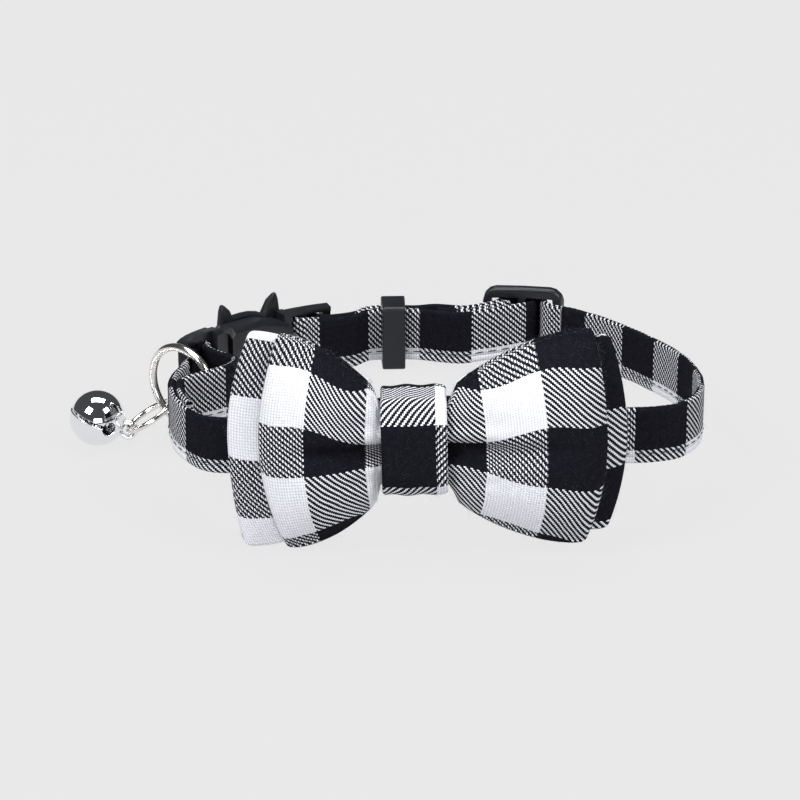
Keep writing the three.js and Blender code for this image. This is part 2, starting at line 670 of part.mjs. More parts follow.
function strapRoute() {
  const t = STRAP_THICKNESS;
  const pitch = t + LAYER_GAP;
  const offBar = Math.hypot(halfBar, halfBar) + CLEARANCE / 2 + t / 2;
  const offSlider = Math.hypot(SLIDER_BAR, SLIDER_THICKNESS) / 2 + CLEARANCE * 0.7 + t / 2;
  const level = SLIDER_STANDS_OUT;
  const leftBar = sliderMiddle - sliderEndBar;
  const rightBar = sliderMiddle + sliderEndBar;
  const foldEnd = leftBar - SLIDER_FOLD_TAIL;
  const ringRun = plugBar + RING_AT;
  const sewnFrom = plugBar - FOLD_TAIL;
  const sewnTo = sewnFrom + SEWN_OVERLAP;
  const outerTurn = offSlider + pitch;
  const underFold = offSlider + 2 * pitch;
  const lean = Math.asin((underFold - offSlider) / sliderEndBar);
  const wound = wrapRound(sliderMiddle, level, offSlider, 1, 1).slice(0, -1);
  return [
    // the sewn end on the slider's middle bar
    [foldEnd, 0],
    [leftBar - 4, level - outerTurn],
    [leftBar, level - outerTurn],
    ...crossOver(leftBar, sliderMiddle, level, [outerTurn, offSlider], -1),
    ...wound,
    [leftBar + underFold * Math.sin(lean), level - underFold * Math.cos(lean)],
    [leftBar, level - underFold],
    [leftBar - 4, level - underFold],
    [foldEnd, -pitch],
    // the inner layer, back through the keeper to the socket
    [keeperMiddle + KEEPER_WIDTH, -layerOut],
    [keeperMiddle - KEEPER_WIDTH, -layerOut],
    [socketBar + 5, -offBar - pitch + 0.4],
    [socketBar, -offBar - pitch],
    ...wrapRound(socketWrapBar, 0, offBar, -1, -1),
    // the outer layer, from the socket through the keeper and over the slider's middle bar
    ...crossOver(socketWrapBar, socketBar, 0, [offBar, offBar], 1),
    [socketBar, -offBar],
    [socketBar + 5, -offBar + 0.4],
    [keeperMiddle - KEEPER_WIDTH, layerOut],
    [keeperMiddle + KEEPER_WIDTH, layerOut],
    [foldEnd, pitch],
    [leftBar - 4, level - offSlider + 0.1],
    [leftBar, level - offSlider],
    ...crossOver(leftBar, sliderMiddle, level, [offSlider, outerTurn], -1),
    [sliderMiddle, level + outerTurn],
    ...crossOver(sliderMiddle, rightBar, level, [outerTurn, offSlider], 1),
    [rightBar, level - offSlider],
    [rightBar + 4, 0],
    // once round the neck
    [LOOP_LENGTH - LOOP_DEPTH / 2, 0],
    [LOOP_LENGTH, 0],
    [LOOP_LENGTH + LOOP_DEPTH * 0.4, 0],
    [LOOP_LENGTH + sewnFrom - 3, 0],
    // the fold on the plug, which opens to let the ring through
    [LOOP_LENGTH + sewnFrom + 1, layerOut],
    [LOOP_LENGTH + sewnTo, layerOut],
    [LOOP_LENGTH + ringRun - 4, -1.2],
    [LOOP_LENGTH + plugBar, -offBar],
    ...crossOver(LOOP_LENGTH + plugBar, LOOP_LENGTH + plugWrapBar, 0, [offBar, offBar], -1),
    ...wrapRound(LOOP_LENGTH + plugWrapBar, 0, offBar, 1, 1),
    [LOOP_LENGTH + plugBar + 1, -RING_SLACK * 0.75],
    [LOOP_LENGTH + ringRun - 1, -RING_SLACK],
    [LOOP_LENGTH + ringRun - 6, -RING_SLACK * 0.8],
    [LOOP_LENGTH + sewnTo, -layerOut],
    [LOOP_LENGTH + sewnFrom, -layerOut],
  ];
}

function strap() {
  const route = strapRoute().map(([run, out]) => new THREE.Vector3(run, out, 0));
  const curve = new THREE.CatmullRomCurve3(route, false, "centripetal");
  const longestStep = 3.6;
  const spots = [];
  for (let i = 0; i < route.length - 1; i++) {
    const steps = Math.max(2, Math.ceil(route[i].distanceTo(route[i + 1]) / longestStep));
    for (let j = 0; j < steps; j++) spots.push(curve.getPoint((i + j / steps) / (route.length - 1)));
  }
  spots.push(route.at(-1));
  const line = spots.map((spot) => place(spot.x, spot.y, 0));
  const sections = line.map((point, i) => {
    const ahead = line[Math.min(i + 1, line.length - 1)];
    const behind = line[Math.max(i - 1, 0)];
    const side = new THREE.Vector3(-(ahead.y - behind.y), ahead.x - behind.x, 0).normalize();
    return cutRectangle(STRAP_THICKNESS / 2, STRAP_WIDTH / 2, STRAP_EDGE).map(([out, up]) =>
      point.clone().addScaledVector(side, out).add(new THREE.Vector3(0, 0, up)),
    );
  });
  return loft(sections);
}

// The ring, its link and the bell. The ring hangs on the strap's top edge, and the bell lies on the surface.

const ringRadius = RING_DIAMETER / 2;
const ringTop = place(plugBar + RING_AT, 0, STRAP_WIDTH / 2);
const ringOutward = new THREE.Vector3(-Math.cos(radians(RING_TURN)), Math.sin(radians(RING_TURN)), 0);
const ringCentre = ringTop
  .clone()
  .setZ(ringTop.z + RING_RIDE + RING_WIRE / 2 - ringRadius)
  .addScaledVector(ringOutward, -RING_INWARD);

// A wire ring in the plane of two directions.
function wireRing(radius, wire, centre, first, second, sides, steps) {
  const ring = new THREE.TorusGeometry(radius, wire / 2, sides, steps);
  const normal = first.clone().cross(second).normalize();
  const basis = new THREE.Matrix4().makeBasis(first, normal.clone().cross(first), normal);
  return ring.applyMatrix4(basis).translate(centre.x, centre.y, centre.z);
}

const up = new THREE.Vector3(0, 0, 1);
const linkAngle = radians(LINK_AT);
const hangPoint = ringCentre
  .clone()
  .addScaledVector(ringOutward, -Math.cos(linkAngle) * ringRadius)
  .addScaledVector(up, Math.sin(linkAngle) * ringRadius);
const linkRadius = LINK_DIAMETER / 2;
const bellRadius = BELL_DIAMETER / 2;
const shankRadius = SHANK_DIAMETER / 2;
const wireGap = CLEARANCE;
const ringToLink = linkRadius - LINK_WIRE / 2 - RING_WIRE / 2 - wireGap;
const linkToShank = linkRadius - LINK_WIRE / 2 - SHANK_WIRE / 2 - wireGap + shankRadius;
const shankToBell = bellRadius + shankRadius - SHANK_WIRE / 2;

// A direction from its heading in plan and its rise.
function direction(heading, rise) {
  return new THREE.Vector3(Math.cos(heading) * Math.cos(rise), Math.sin(heading) * Math.cos(rise), Math.sin(rise));
}

const pole = direction(radians(POLE_HEADING), radians(POLE_RISE));
const shankHeight = bellRadius - pole.z * shankToBell;
const chainFall = Math.asin((shankHeight - hangPoint.z) / (ringToLink + linkToShank));
const alongChain = direction(radians(LINK_HEADING), chainFall);
const levelSide = up.clone().cross(alongChain).normalize();
const linkSide = levelSide.applyAxisAngle(alongChain, radians(LINK_TILT));
const linkCentre = hangPoint.clone().addScaledVector(alongChain, ringToLink);
const shankCentre = linkCentre.clone().addScaledVector(alongChain, linkToShank);
const bellCentre = shankCentre.clone().addScaledVector(pole, shankToBell);

function bell() {
  const shell = cut(
    new THREE.SphereGeometry(bellRadius, 28, 18),
    new THREE.SphereGeometry(bellRadius - BELL_WALL, 20, 14),
  );
  const reach = radians(SLIT_REACH);
  const sector = new THREE.Shape();
  sector.absarc(0, 0, bellRadius + 1, Math.PI / 2 - reach, Math.PI / 2 + reach, false);
  sector.absarc(0, 0, bellRadius - 2, Math.PI / 2 + reach, Math.PI / 2 - reach, true);
  const slit = new THREE.ExtrudeGeometry(sector, { depth: SLIT_WIDTH, bevelEnabled: false, curveSegments: 24 })
    .translate(0, 0, -SLIT_WIDTH / 2)
    .rotateX(Math.PI / 2);
  const holes = [-1, 1].map((side) => {
    const hole = new THREE.CylinderGeometry(SLIT_HOLE / 2, SLIT_HOLE / 2, 3, 12).translate(0, bellRadius, 0);
    return hole.rotateX(Math.PI / 2).rotateY(side * reach);
  });
  const cutter = join(slit, ...holes);
  const open = cut(shell, cutter);
  const shankWire = wireRing(
    shankRadius,
    SHANK_WIRE,
    new THREE.Vector3(0, 0, -shankToBell),
    new THREE.Vector3(0, 0, 1),
    new THREE.Vector3(0, 1, 0),
    8,
    20,
  );
  const whole = join(open, shankWire);
  // the slit's pole is +Z here and its plane holds X, the shank is at -Z
  const side = new THREE.Vector3(0, -1, 0).addScaledVector(pole, pole.y).normalize();
  const low = pole.clone().cross(side);
  const roll = radians(SLIT_ROLL);
  const slitWay = side.clone().multiplyScalar(Math.cos(roll)).addScaledVector(low, Math.sin(roll));
  const basis = new THREE.Matrix4().makeBasis(slitWay, pole.clone().cross(slitWay), pole);
  return whole.applyMatrix4(basis).translate(bellCentre.x, bellCentre.y, bellCentre.z);
}

function pea() {
  const radius = PEA_DIAMETER / 2;
  const drop = bellRadius - BELL_WALL - radius - 0.1;
  const lean = new THREE.Vector3(0, 0.5, -0.866);
  const at = bellCentre.clone().addScaledVector(lean, drop);
  return new THREE.SphereGeometry(radius, 12, 8).translate(at.x, at.y, at.z);
}

// The whole collar.

const group = new THREE.Group();
const knotPlace = place(0, 0, 0);
bow.position.copy(knotPlace);
group.add(bow);
group.add(meshOf("collar_strap", strap(), CLOTH));
group.add(meshOf("buckle_plug", bucklePlug(), PLASTIC));
group.add(meshOf("buckle_socket", buckleSocket(), PLASTIC));
group.add(meshOf("strap_keeper", keeper(), PLASTIC));
group.add(meshOf("slider", slider(), PLASTIC));
const tagRing = wireRing(ringRadius, RING_WIRE, ringCentre, ringOutward, up, 8, 36);
const link = wireRing(linkRadius, LINK_WIRE, linkCentre, alongChain, linkSide, 8, 28);
group.add(meshOf("tag_ring", tagRing, NICKEL));
group.add(meshOf("bell_link", link, NICKEL));
group.add(meshOf("bell", bell(), CHROME));
group.add(meshOf("bell_pea", pea(), NICKEL));

// The origin is under the middle of the whole, on the surface that it stands on.
const bounds = new THREE.Box3().setFromObject(group, true);
const middle = bounds.getCenter(new THREE.Vector3());
group.position.set(-middle.x, -middle.y, -bounds.min.z);
group.updateMatrixWorld(true);

export default group;
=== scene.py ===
"""A cat's bow tie collar in brushed check cotton, with black plastic hardware, a ring and a bell.

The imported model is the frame. Sizes below are in millimetres and are turned into metres where a mesh is made.
"""

import logging
import math
import random
from dataclasses import dataclass, field
from enum import Enum

import bmesh
import bpy
import numpy as np
from mathutils import Matrix, Vector


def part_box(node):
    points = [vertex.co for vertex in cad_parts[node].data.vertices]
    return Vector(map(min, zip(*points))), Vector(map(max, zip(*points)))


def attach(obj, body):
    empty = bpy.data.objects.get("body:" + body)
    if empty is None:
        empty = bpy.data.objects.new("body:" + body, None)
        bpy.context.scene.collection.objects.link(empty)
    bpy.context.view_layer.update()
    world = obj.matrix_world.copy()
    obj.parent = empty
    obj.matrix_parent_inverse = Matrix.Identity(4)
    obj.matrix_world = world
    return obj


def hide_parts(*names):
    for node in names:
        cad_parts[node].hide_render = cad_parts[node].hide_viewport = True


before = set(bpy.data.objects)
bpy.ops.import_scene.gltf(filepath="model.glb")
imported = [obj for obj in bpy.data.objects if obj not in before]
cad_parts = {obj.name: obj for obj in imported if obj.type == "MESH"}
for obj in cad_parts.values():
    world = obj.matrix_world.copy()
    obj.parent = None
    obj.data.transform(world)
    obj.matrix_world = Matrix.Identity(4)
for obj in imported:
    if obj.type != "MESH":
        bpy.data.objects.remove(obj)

LOG = logging.getLogger("collar")
MM = 0.001
BODY = "root"
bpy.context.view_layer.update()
BAND = 9.7
TWILL_REPEAT = 4.0
HALF_TURN = [(math.cos(math.pi * i / 6), math.sin(math.pi * i / 6)) for i in range(7)]
Points = np.ndarray
Piece = bpy.types.Object
Finish = bpy.types.Material
Group = bpy.types.NodeTree
Socket = bpy.types.NodeSocket


# Shader building.


class Graph:
    """A node tree with short calls for the nodes that the finishes use."""

    def __init__(self, tree: Group) -> None:
        """Keeps the tree. Args: tree, the material's or the group's node tree."""
        self.tree = tree

    def add(self, kind: str, **settings: object) -> bpy.types.Node:
        """Adds a node. Args: kind, the node's type name; settings, properties to set on it. Returns: the node."""
        node = self.tree.nodes.new(kind)
        for name, value in settings.items():
            setattr(node, name, value)
        return node

    def feed(self, socket: Socket, value: object) -> None:
        """Links or sets an input. Args: socket, the input; value, a socket to link from, or a plain value."""
        if isinstance(value, Socket):
            self.tree.links.new(value, socket)
        else:
            socket.default_value = value

    def math(self, operation: str, *values: object, clamp: bool = False) -> Socket:
        """A Math node's result.

        Args:
            operation: the node's operation.
            values: its inputs in order.
            clamp: keeps the result from 0 to 1.

        Returns:
            The output socket.
        """
        node = self.add("ShaderNodeMath", operation=operation, use_clamp=clamp)
        for socket, value in zip(node.inputs, values):
            self.feed(socket, value)
        return node.outputs[0]

    def times(self, one: object, other: object) -> Socket:
        """A product. Args: one and other, sockets or values. Returns: the output socket."""
        return self.math("MULTIPLY", one, other)

    def plus(self, one: object, other: object) -> Socket:
        """A sum. Args: one and other, sockets or values. Returns: the output socket."""
        return self.math("ADD", one, other)

    def minus(self, one: object, other: object) -> Socket:
        """A difference. Args: one and other, sockets or values. Returns: the output socket."""
        return self.math("SUBTRACT", one, other)

    def mix(self, factor: object, low: object, high: object, colours: bool = False) -> Socket:
        """A value between two others.

        Args:
            factor: 0 for low, 1 for high.
            low: the first value.
            high: the second value.
            colours: the values are colours.

        Returns:
            The output socket.
        """
        node = self.add("ShaderNodeMix", data_type="RGBA" if colours else "FLOAT")
        first, out = (6, 2) if colours else (2, 0)
        for index, value in ((0, factor), (first, low), (first + 1, high)):
            self.feed(node.inputs[index], value)
        return node.outputs[out]

    def noise(self, vector: object, scale: float, detail: float = 2.0) -> Socket:
        """A noise value.

        Args:
            vector: where to read it.
            scale: waves to a unit.
            detail: octaves.

        Returns:
            The value's socket.
        """
        node = self.add("ShaderNodeTexNoise")
        self.feed(node.inputs["Vector"], vector)
        node.inputs["Scale"].default_value = scale
        node.inputs["Detail"].default_value = detail
        return node.outputs[0]

    def bump(self, normal: Socket, height: Socket, strength: float, distance: float) -> None:
        """Raises a surface. Args: normal, the shader's input; height; strength; distance, in metres."""
        node = self.add("ShaderNodeBump")
        node.inputs["Strength"].default_value = strength
        node.inputs["Distance"].default_value = distance
        self.feed(node.inputs["Height"], height)
        self.feed(normal, node.outputs[0])


def new_material(name: str) -> tuple[Finish, Graph, bpy.types.bpy_prop_collection]:
    """Starts a material. Args: name. Returns: the material, its graph and its shader's inputs."""
    material = bpy.data.materials.new(name)
    material.use_nodes = True
    return material, Graph(material.node_tree), material.node_tree.nodes["Principled BSDF"].inputs


def new_group(name: str, inputs: dict[str, object], outputs: dict[str, str]) -> tuple[Graph, dict, dict]:
    """Starts a shader node group.

    Args:
        name: the group's name.
        inputs: input names with a number for a value, or None for a vector.
        outputs: output names with their socket types.

    Returns:
        The group's graph, its input sockets and its output sockets by name.
    """
    tree = bpy.data.node_groups.new(name, "ShaderNodeTree")
    for label, default in inputs.items():
        kind = "NodeSocketVector" if default is None else "NodeSocketFloat"
        made = tree.interface.new_socket(label, in_out="INPUT", socket_type=kind)
        if default is not None:
            made.default_value = default
    for label, kind in outputs.items():
        tree.interface.new_socket(label, in_out="OUTPUT", socket_type=kind)
    graph = Graph(tree)
    sources = graph.add("NodeGroupInput").outputs
    sinks = graph.add("NodeGroupOutput").inputs
    return graph, {label: sources[label] for label in inputs}, {label: sinks[label] for label in outputs}


def check_twill_group() -> Group:
    """A check of two colours in a two-over-two twill: white threads and black threads cross in bands.

    Returns:
        The group: White says how white a place is, with painted shade on the threads' sides and in the gaps between
            them, Height is the relief of the threads.
    """
    graph, given, made = new_group(
        "check_twill",
        {"Place": None, "Pitch": 0.26, "Band": BAND, "Band V": BAND, "Start U": 0.0, "Start V": 0.0},
        {"White": "NodeSocketFloat", "Height": "NodeSocketFloat"},
    )
    drift, drift_waves, other_drift = 0.3, 0.35, (31.0, 17.0, 5.0)
    warp_long, weft_long, pair = 1.6, 1.55, 0.571
    parts = graph.add("ShaderNodeSeparateXYZ")
    graph.feed(parts.inputs[0], given["Place"])
    shifted = graph.add("ShaderNodeVectorMath", operation="ADD")
    graph.feed(shifted.inputs[0], given["Place"])
    shifted.inputs[1].default_value = other_drift
    u, v = (
        graph.plus(part, graph.times(graph.minus(graph.noise(place, drift_waves), 0.5), drift))
        for part, place in ((parts.outputs[0], given["Place"]), (parts.outputs[1], shifted.outputs[0]))
    )
    across, along = (graph.math("DIVIDE", part, given["Pitch"]) for part in (u, v))
    column, row = (graph.math("FLOOR", count) for count in (across, along))

    def band(value: Socket, start: str, width: str) -> Socket:
        """1 in every other band. Args: value, a place; start and width, names of inputs. Returns: the mask."""
        count = graph.math("FLOOR", graph.math("DIVIDE", graph.minus(value, given[start]), given[width]))
        return graph.math("LESS_THAN", graph.math("FLOORED_MODULO", count, 2.0), 0.5)

    weft_white, warp_white = band(v, "Start V", "Band V"), band(u, "Start U", "Band")

    def crown(value: Socket) -> Socket:
        """A thread's round back. Args: value, a place in threads. Returns: 1 on its middle line."""
        off = graph.minus(graph.math("FRACT", value), 0.5)
        return graph.minus(1.0, graph.times(graph.times(off, off), 3.6))

    def dash(spot: Socket, long: float) -> Socket:
        """A thread's floats. Args: spot, a place in threads; long, their length. Returns: the mask."""
        return graph.math("LESS_THAN", graph.math("FLOORED_MODULO", spot, TWILL_REPEAT), long)

    height = graph.mix(dash(graph.plus(column, row), 1.5), crown(along), crown(across))
    pair_across, pair_along = (crown(graph.times(count, pair)) for count in (across, along))
    # white warp shows as dots, white weft as diagonals of short dashes with painted shade on the threads' sides, and
    # both together as a fine grid darkened by painted shade in the gaps between threads
    dots = graph.math("SUBTRACT", graph.times(pair_across, 2.1), 0.75, clamp=True)
    # painted shade: each white weft thread darkens towards its sides
    painted_thread_shade = graph.plus(graph.times(crown(along), 0.5), 0.5)
    # painted shade: white squares darken in the gaps between threads
    painted_gap_shade = graph.plus(graph.plus(graph.times(pair_across, 0.3), graph.times(pair_along, 0.25)), 0.45)
    warp_dash = dash(graph.plus(column, along), warp_long)
    weft_dash = dash(graph.plus(graph.plus(across, TWILL_REPEAT / 2), row), weft_long)
    weft_part = graph.times(weft_white, graph.times(weft_dash, painted_thread_shade))
    mixed = graph.mix(warp_white, weft_part, graph.times(warp_dash, dots))
    plain = graph.times(weft_white, warp_white)
    graph.feed(made["White"], graph.mix(plain, mixed, painted_gap_shade))
    graph.feed(made["Height"], height)
    return graph.tree


def brushed_nap_group() -> Group:
    """The brushed surface of flannel: short fibres that blur the colours, and pale fibres that lift the black with
    their own tone and painted sheen.

    Returns:
        The group: Value is the check's value under the nap, with the fibres' painted sheen, Relief is soft height.
    """
    graph, given, made = new_group(
        "brushed_nap",
        {"Place": None, "White": 0.0, "Amount": 0.5},
        {"Value": "NodeSocketFloat", "Relief": "NodeSocketFloat"},
    )
    stretched = graph.add("ShaderNodeMapping")
    graph.feed(stretched.inputs[0], given["Place"])
    stretched.inputs["Rotation"].default_value = (0.0, 0.0, 0.6)
    stretched.inputs["Scale"].default_value = (1.0, 3.2, 1.0)
    fibre = graph.noise(stretched.outputs[0], 2.6, 4.0)
    soft = graph.noise(given["Place"], 1.1, 3.0)
    sparse = graph.math("MULTIPLY", graph.minus(fibre, 0.56), 4.0, clamp=True)
    # sparse fibres lift the black: pale fibre colour, with painted sheen where they catch light
    fibre_tone_and_sheen = graph.times(sparse, graph.times(given["Amount"], 0.05))
    dark = graph.plus(graph.times(soft, 0.009), fibre_tone_and_sheen)
    light = graph.minus(1.0, graph.times(graph.minus(1.0, soft), 0.16))
    graph.feed(made["Value"], graph.mix(given["White"], dark, light))
    graph.feed(made["Relief"], graph.plus(graph.times(fibre, 0.5), graph.times(soft, 0.9)))
    return graph.tree


def moulded_skin_group() -> Group:
    """The skin of moulded plastic: a fine grain and a little handling wear.

    Returns:
        The group: Rough moves the roughness, Relief is the grain's height.
    """
    graph, given, made = new_group(
        "moulded_skin", {"Place": None, "Grain": 1.0}, {"Rough": "NodeSocketFloat", "Relief": "NodeSocketFloat"}
    )
    fine = graph.noise(given["Place"], 2600.0, 2.0)
    wide = graph.noise(given["Place"], 260.0, 3.0)
    graph.feed(made["Rough"], graph.times(graph.minus(wide, 0.5), 0.22))
    graph.feed(made["Relief"], graph.times(fine, given["Grain"]))
    return graph.tree


@dataclass(frozen=True)
class CheckCloth:
    """Brushed cotton in a black and white check.

    The band edges start where a black band ends, in millimetres of the piece's cloth.
    """

    name: str
    start_u: float
    start_v: float
    band: float = BAND
    band_v: float = BAND
    pitch: float = 0.262
    nap: float = 0.6
    relief: float = 0.55
    thread_height: float = 0.00011
    roughness: float = 0.92
    specular: float = 0.03
    black: tuple = (0.0028, 0.0029, 0.0062, 1.0)
    white: tuple = (0.83, 0.84, 0.9, 1.0)

    def material(self, twill: Group, nap: Group) -> Finish:
        """Makes the material. Args: twill and nap, the groups of the weave and the nap. Returns: the material."""
        material, graph, shader = new_material(self.name)
        place = graph.add("ShaderNodeUVMap", uv_map="cloth").outputs[0]
        weave = graph.add("ShaderNodeGroup", node_tree=twill)
        settings = {
            "Place": place,
            "Pitch": self.pitch,
            "Band": self.band,
            "Band V": self.band_v,
            "Start U": self.start_u,
            "Start V": self.start_v,
        }
        for label, value in settings.items():
            graph.feed(weave.inputs[label], value)
        brushed = graph.add("ShaderNodeGroup", node_tree=nap)
        for label, value in (("Place", place), ("White", weave.outputs["White"]), ("Amount", self.nap)):
            graph.feed(brushed.inputs[label], value)
        graph.feed(shader["Base Color"], graph.mix(brushed.outputs["Value"], self.black, self.white, colours=True))
        relief = graph.plus(weave.outputs["Height"], brushed.outputs["Relief"])
        graph.bump(shader["Normal"], relief, self.relief, self.thread_height)
        shader["Roughness"].default_value = self.roughness
        shader["Specular IOR Level"].default_value = self.specular
        return material


@dataclass(frozen=True)
class MouldedPlastic:
    """Black moulded plastic with a satin skin."""

    name: str = "black_plastic"
    colour: tuple = (0.0085, 0.009, 0.0125, 1.0)
    roughness: float = 0.38
    grain: float = 1.0
    relief: float = 0.22
    grain_height: float = 0.00004
    specular: float = 0.36

    def material(self, skin: Group) -> Finish:
        """Makes the material. Args: skin, the moulded_skin group. Returns: the material."""
        material, graph, shader = new_material(self.name)
        made = graph.add("ShaderNodeGroup", node_tree=skin)
        graph.feed(made.inputs["Place"], graph.add("ShaderNodeTexCoord").outputs["Object"])
        made.inputs["Grain"].default_value = self.grain
        graph.feed(shader["Roughness"], graph.plus(made.outputs["Rough"], self.roughness))
        graph.bump(shader["Normal"], made.outputs["Relief"], self.relief, self.grain_height)
        shader["Base Color"].default_value = self.colour
        shader["Specular IOR Level"].default_value = self.specular
        return material


@dataclass(frozen=True)
class PlatedMetal:
    """Plated metal: nickel on the wires, a mirror plating on the bell."""

    name: str
    colour: tuple
    roughness: float
    streak: float = 0.04
    relief: float = 0.05
    streak_height: float = 0.00003

    def material(self) -> Finish:
        """Makes the material. Returns: the material."""
        material, graph, shader = new_material(self.name)
        handled = graph.noise(graph.add("ShaderNodeTexCoord").outputs["Object"], 420.0, 4.0)
        spread = graph.times(graph.minus(handled, 0.45), self.streak)
        graph.feed(shader["Roughness"], graph.plus(spread, self.roughness))
        graph.bump(shader["Normal"], handled, self.relief, self.streak_height)
        shader["Base Color"].default_value = self.colour
        shader["Metallic"].default_value = 1.0
        return material


@dataclass(frozen=True)
class PlainFibre:
    """The finish of loose fibres and sewing thread."""

    name: str
    colour: tuple
    dim: float = 0.55
    roughness: float = 0.9

    def material(self) -> Finish:
        """Makes the material, a little darker and lighter from place to place. Returns: the material."""
        material, graph, shader = new_material(self.name)
        shade = graph.noise(graph.add("ShaderNodeTexCoord").outputs["Object"], 900.0, 2.0)
        darker = tuple(part * self.dim for part in self.colour[:3]) + (1.0,)
        graph.feed(shader["Base Color"], graph.mix(shade, darker, self.colour, colours=True))
        shader["Roughness"].default_value = self.roughness
        return material


# Mesh building.


def stand(name: str, data: bpy.types.ID) -> Piece:
    """Puts an object in the scene. Args: name; data, its mesh, light or camera. Returns: the object."""
    piece = bpy.data.objects.new(name, data)
    bpy.context.scene.collection.objects.link(piece)
    return piece


def smooth_mesh(name: str, points: Points, faces: list, uv: Points | None = None) -> Piece:
    """Makes a smooth piece from points in millimetres.

    Args:
        name: the piece's name.
        points: its points.
        faces: its faces as index tuples.
        uv: cloth coordinates for each point or for each face corner, in millimetres.

    Returns:
        The object, linked to the scene.
    """
    mesh = bpy.data.meshes.new(name)
    mesh.from_pydata((np.asarray(points) * MM).tolist(), [], faces)
    mesh.update()
    if uv is not None:
        layer = mesh.uv_layers.new(name="cloth")
        order = np.empty(len(mesh.loops), dtype=np.int64)
        mesh.loops.foreach_get("vertex_index", order)
        spots = np.asarray(uv, dtype=np.float32)
        layer.data.foreach_set("uv", (spots if len(spots) == len(order) else spots[order]).ravel())
    mesh.polygons.foreach_set("use_smooth", [True] * len(mesh.polygons))
    piece = stand(name, mesh)
    made = bmesh.new()
    made.from_mesh(mesh)
    if made.calc_volume(signed=True) < 0:
        bmesh.ops.reverse_faces(made, faces=made.faces)
        made.to_mesh(mesh)
    made.free()
    return piece


def tube_faces(rows: int, count: int, closed: bool) -> list:
    """Faces between rows of closed rings of points.

    Args:
        rows: how many rings.
        count: points in each ring.
        closed: joins the last ring to the first.

    Returns:
        The quads.
    """
    faces = []
    for i in range(rows if closed else rows - 1):
        low, high = i * count, ((i + 1) % rows) * count
        for j in range(count):
            after = (j + 1) % count
            faces.append((low + j, low + after, high + after, high + j))
    return faces


def capped_tube(start: int, rings: int, count: int) -> list:
    """A tube's faces with closed ends. Args: start, its first point; rings; count, points in each. Returns: faces."""
    last = start + (rings - 1) * count
    faces = [tuple(start + k for k in quad) for quad in tube_faces(rings, count, False)]
    return faces + [tuple(range(start, start + count)), tuple(range(last + count - 1, last - 1, -1))]


def rows_at(places: Points, marks: Points, rows: Points, period: float | None = None) -> Points:
    """Rows between rows. Args: places; marks, where the rows are; rows; period, of a closed line. Returns: rows."""
    return np.column_stack([np.interp(places, marks, rows[:, k], period=period) for k in range(3)])


def dress(piece: Piece, material: Finish, slot: str, *nodes: str) -> Piece:
    """Gives a piece its finish and body, and hides the CAD nodes that it stands for.

    Args:
        piece: the piece.
        material: its finish.
        slot: not used.
        nodes: the CAD nodes that it replaces.

    Returns:
        The piece.
    """
    piece.data.materials.clear()
    piece.data.materials.append(material)
    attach(piece, BODY)
    if nodes:
        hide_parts(*nodes)
    LOG.info("%s: %d faces", piece.name, len(piece.data.polygons))
    return piece


def smoothstep(value: Points | float, low: float, high: float) -> Points:
    """An eased step. Args: value, low and high, the step's ends. Returns: 0 to 1."""
    share = np.clip((np.asarray(value, float) - low) / (high - low), 0.0, 1.0)
    return share * share * (3.0 - 2.0 * share)


def curve_through(knots: Points, closed: bool, shares: Points) -> Points:
    """A centripetal Catmull-Rom curve.

    Args:
        knots: the points that it passes.
        closed: joins its ends.
        shares: places on it, from 0 to 1, with equal shares between knots.

    Returns:
        A point for each share.
    """
    count = len(knots)
    spot = shares * (count if closed else count - 1)
    first = np.minimum(np.floor(spot).astype(int), count - 1 if closed else count - 2)
    weight = (spot - first)[:, None]
    if closed:
        before, start, end, after = (knots[(first + k) % count] for k in (-1, 0, 1, 2))
    else:
        long = np.vstack([2 * knots[0] - knots[1], knots, 2 * knots[-1] - knots[-2]])
        before, start, end, after = (long[first + k] for k in (0, 1, 2, 3))
    gaps = [np.maximum(np.linalg.norm(b - a, axis=1), 1e-6)[:, None] ** 0.5 for a, b in
            ((before, start), (start, end), (end, after))]
    leave = (start - before) / gaps[0] - (end - before) / (gaps[0] + gaps[1]) + (end - start) / gaps[1]
    reach = (end - start) / gaps[1] - (after - start) / (gaps[1] + gaps[2]) + (after - end) / gaps[2]
    leave, reach = leave * gaps[1], reach * gaps[1]
    square, cube = weight**2, weight**3
    rise = -3 * start + 3 * end - 2 * leave - reach
    bend = 2 * start - 2 * end + leave + reach
    return start + leave * weight + rise * square + bend * cube


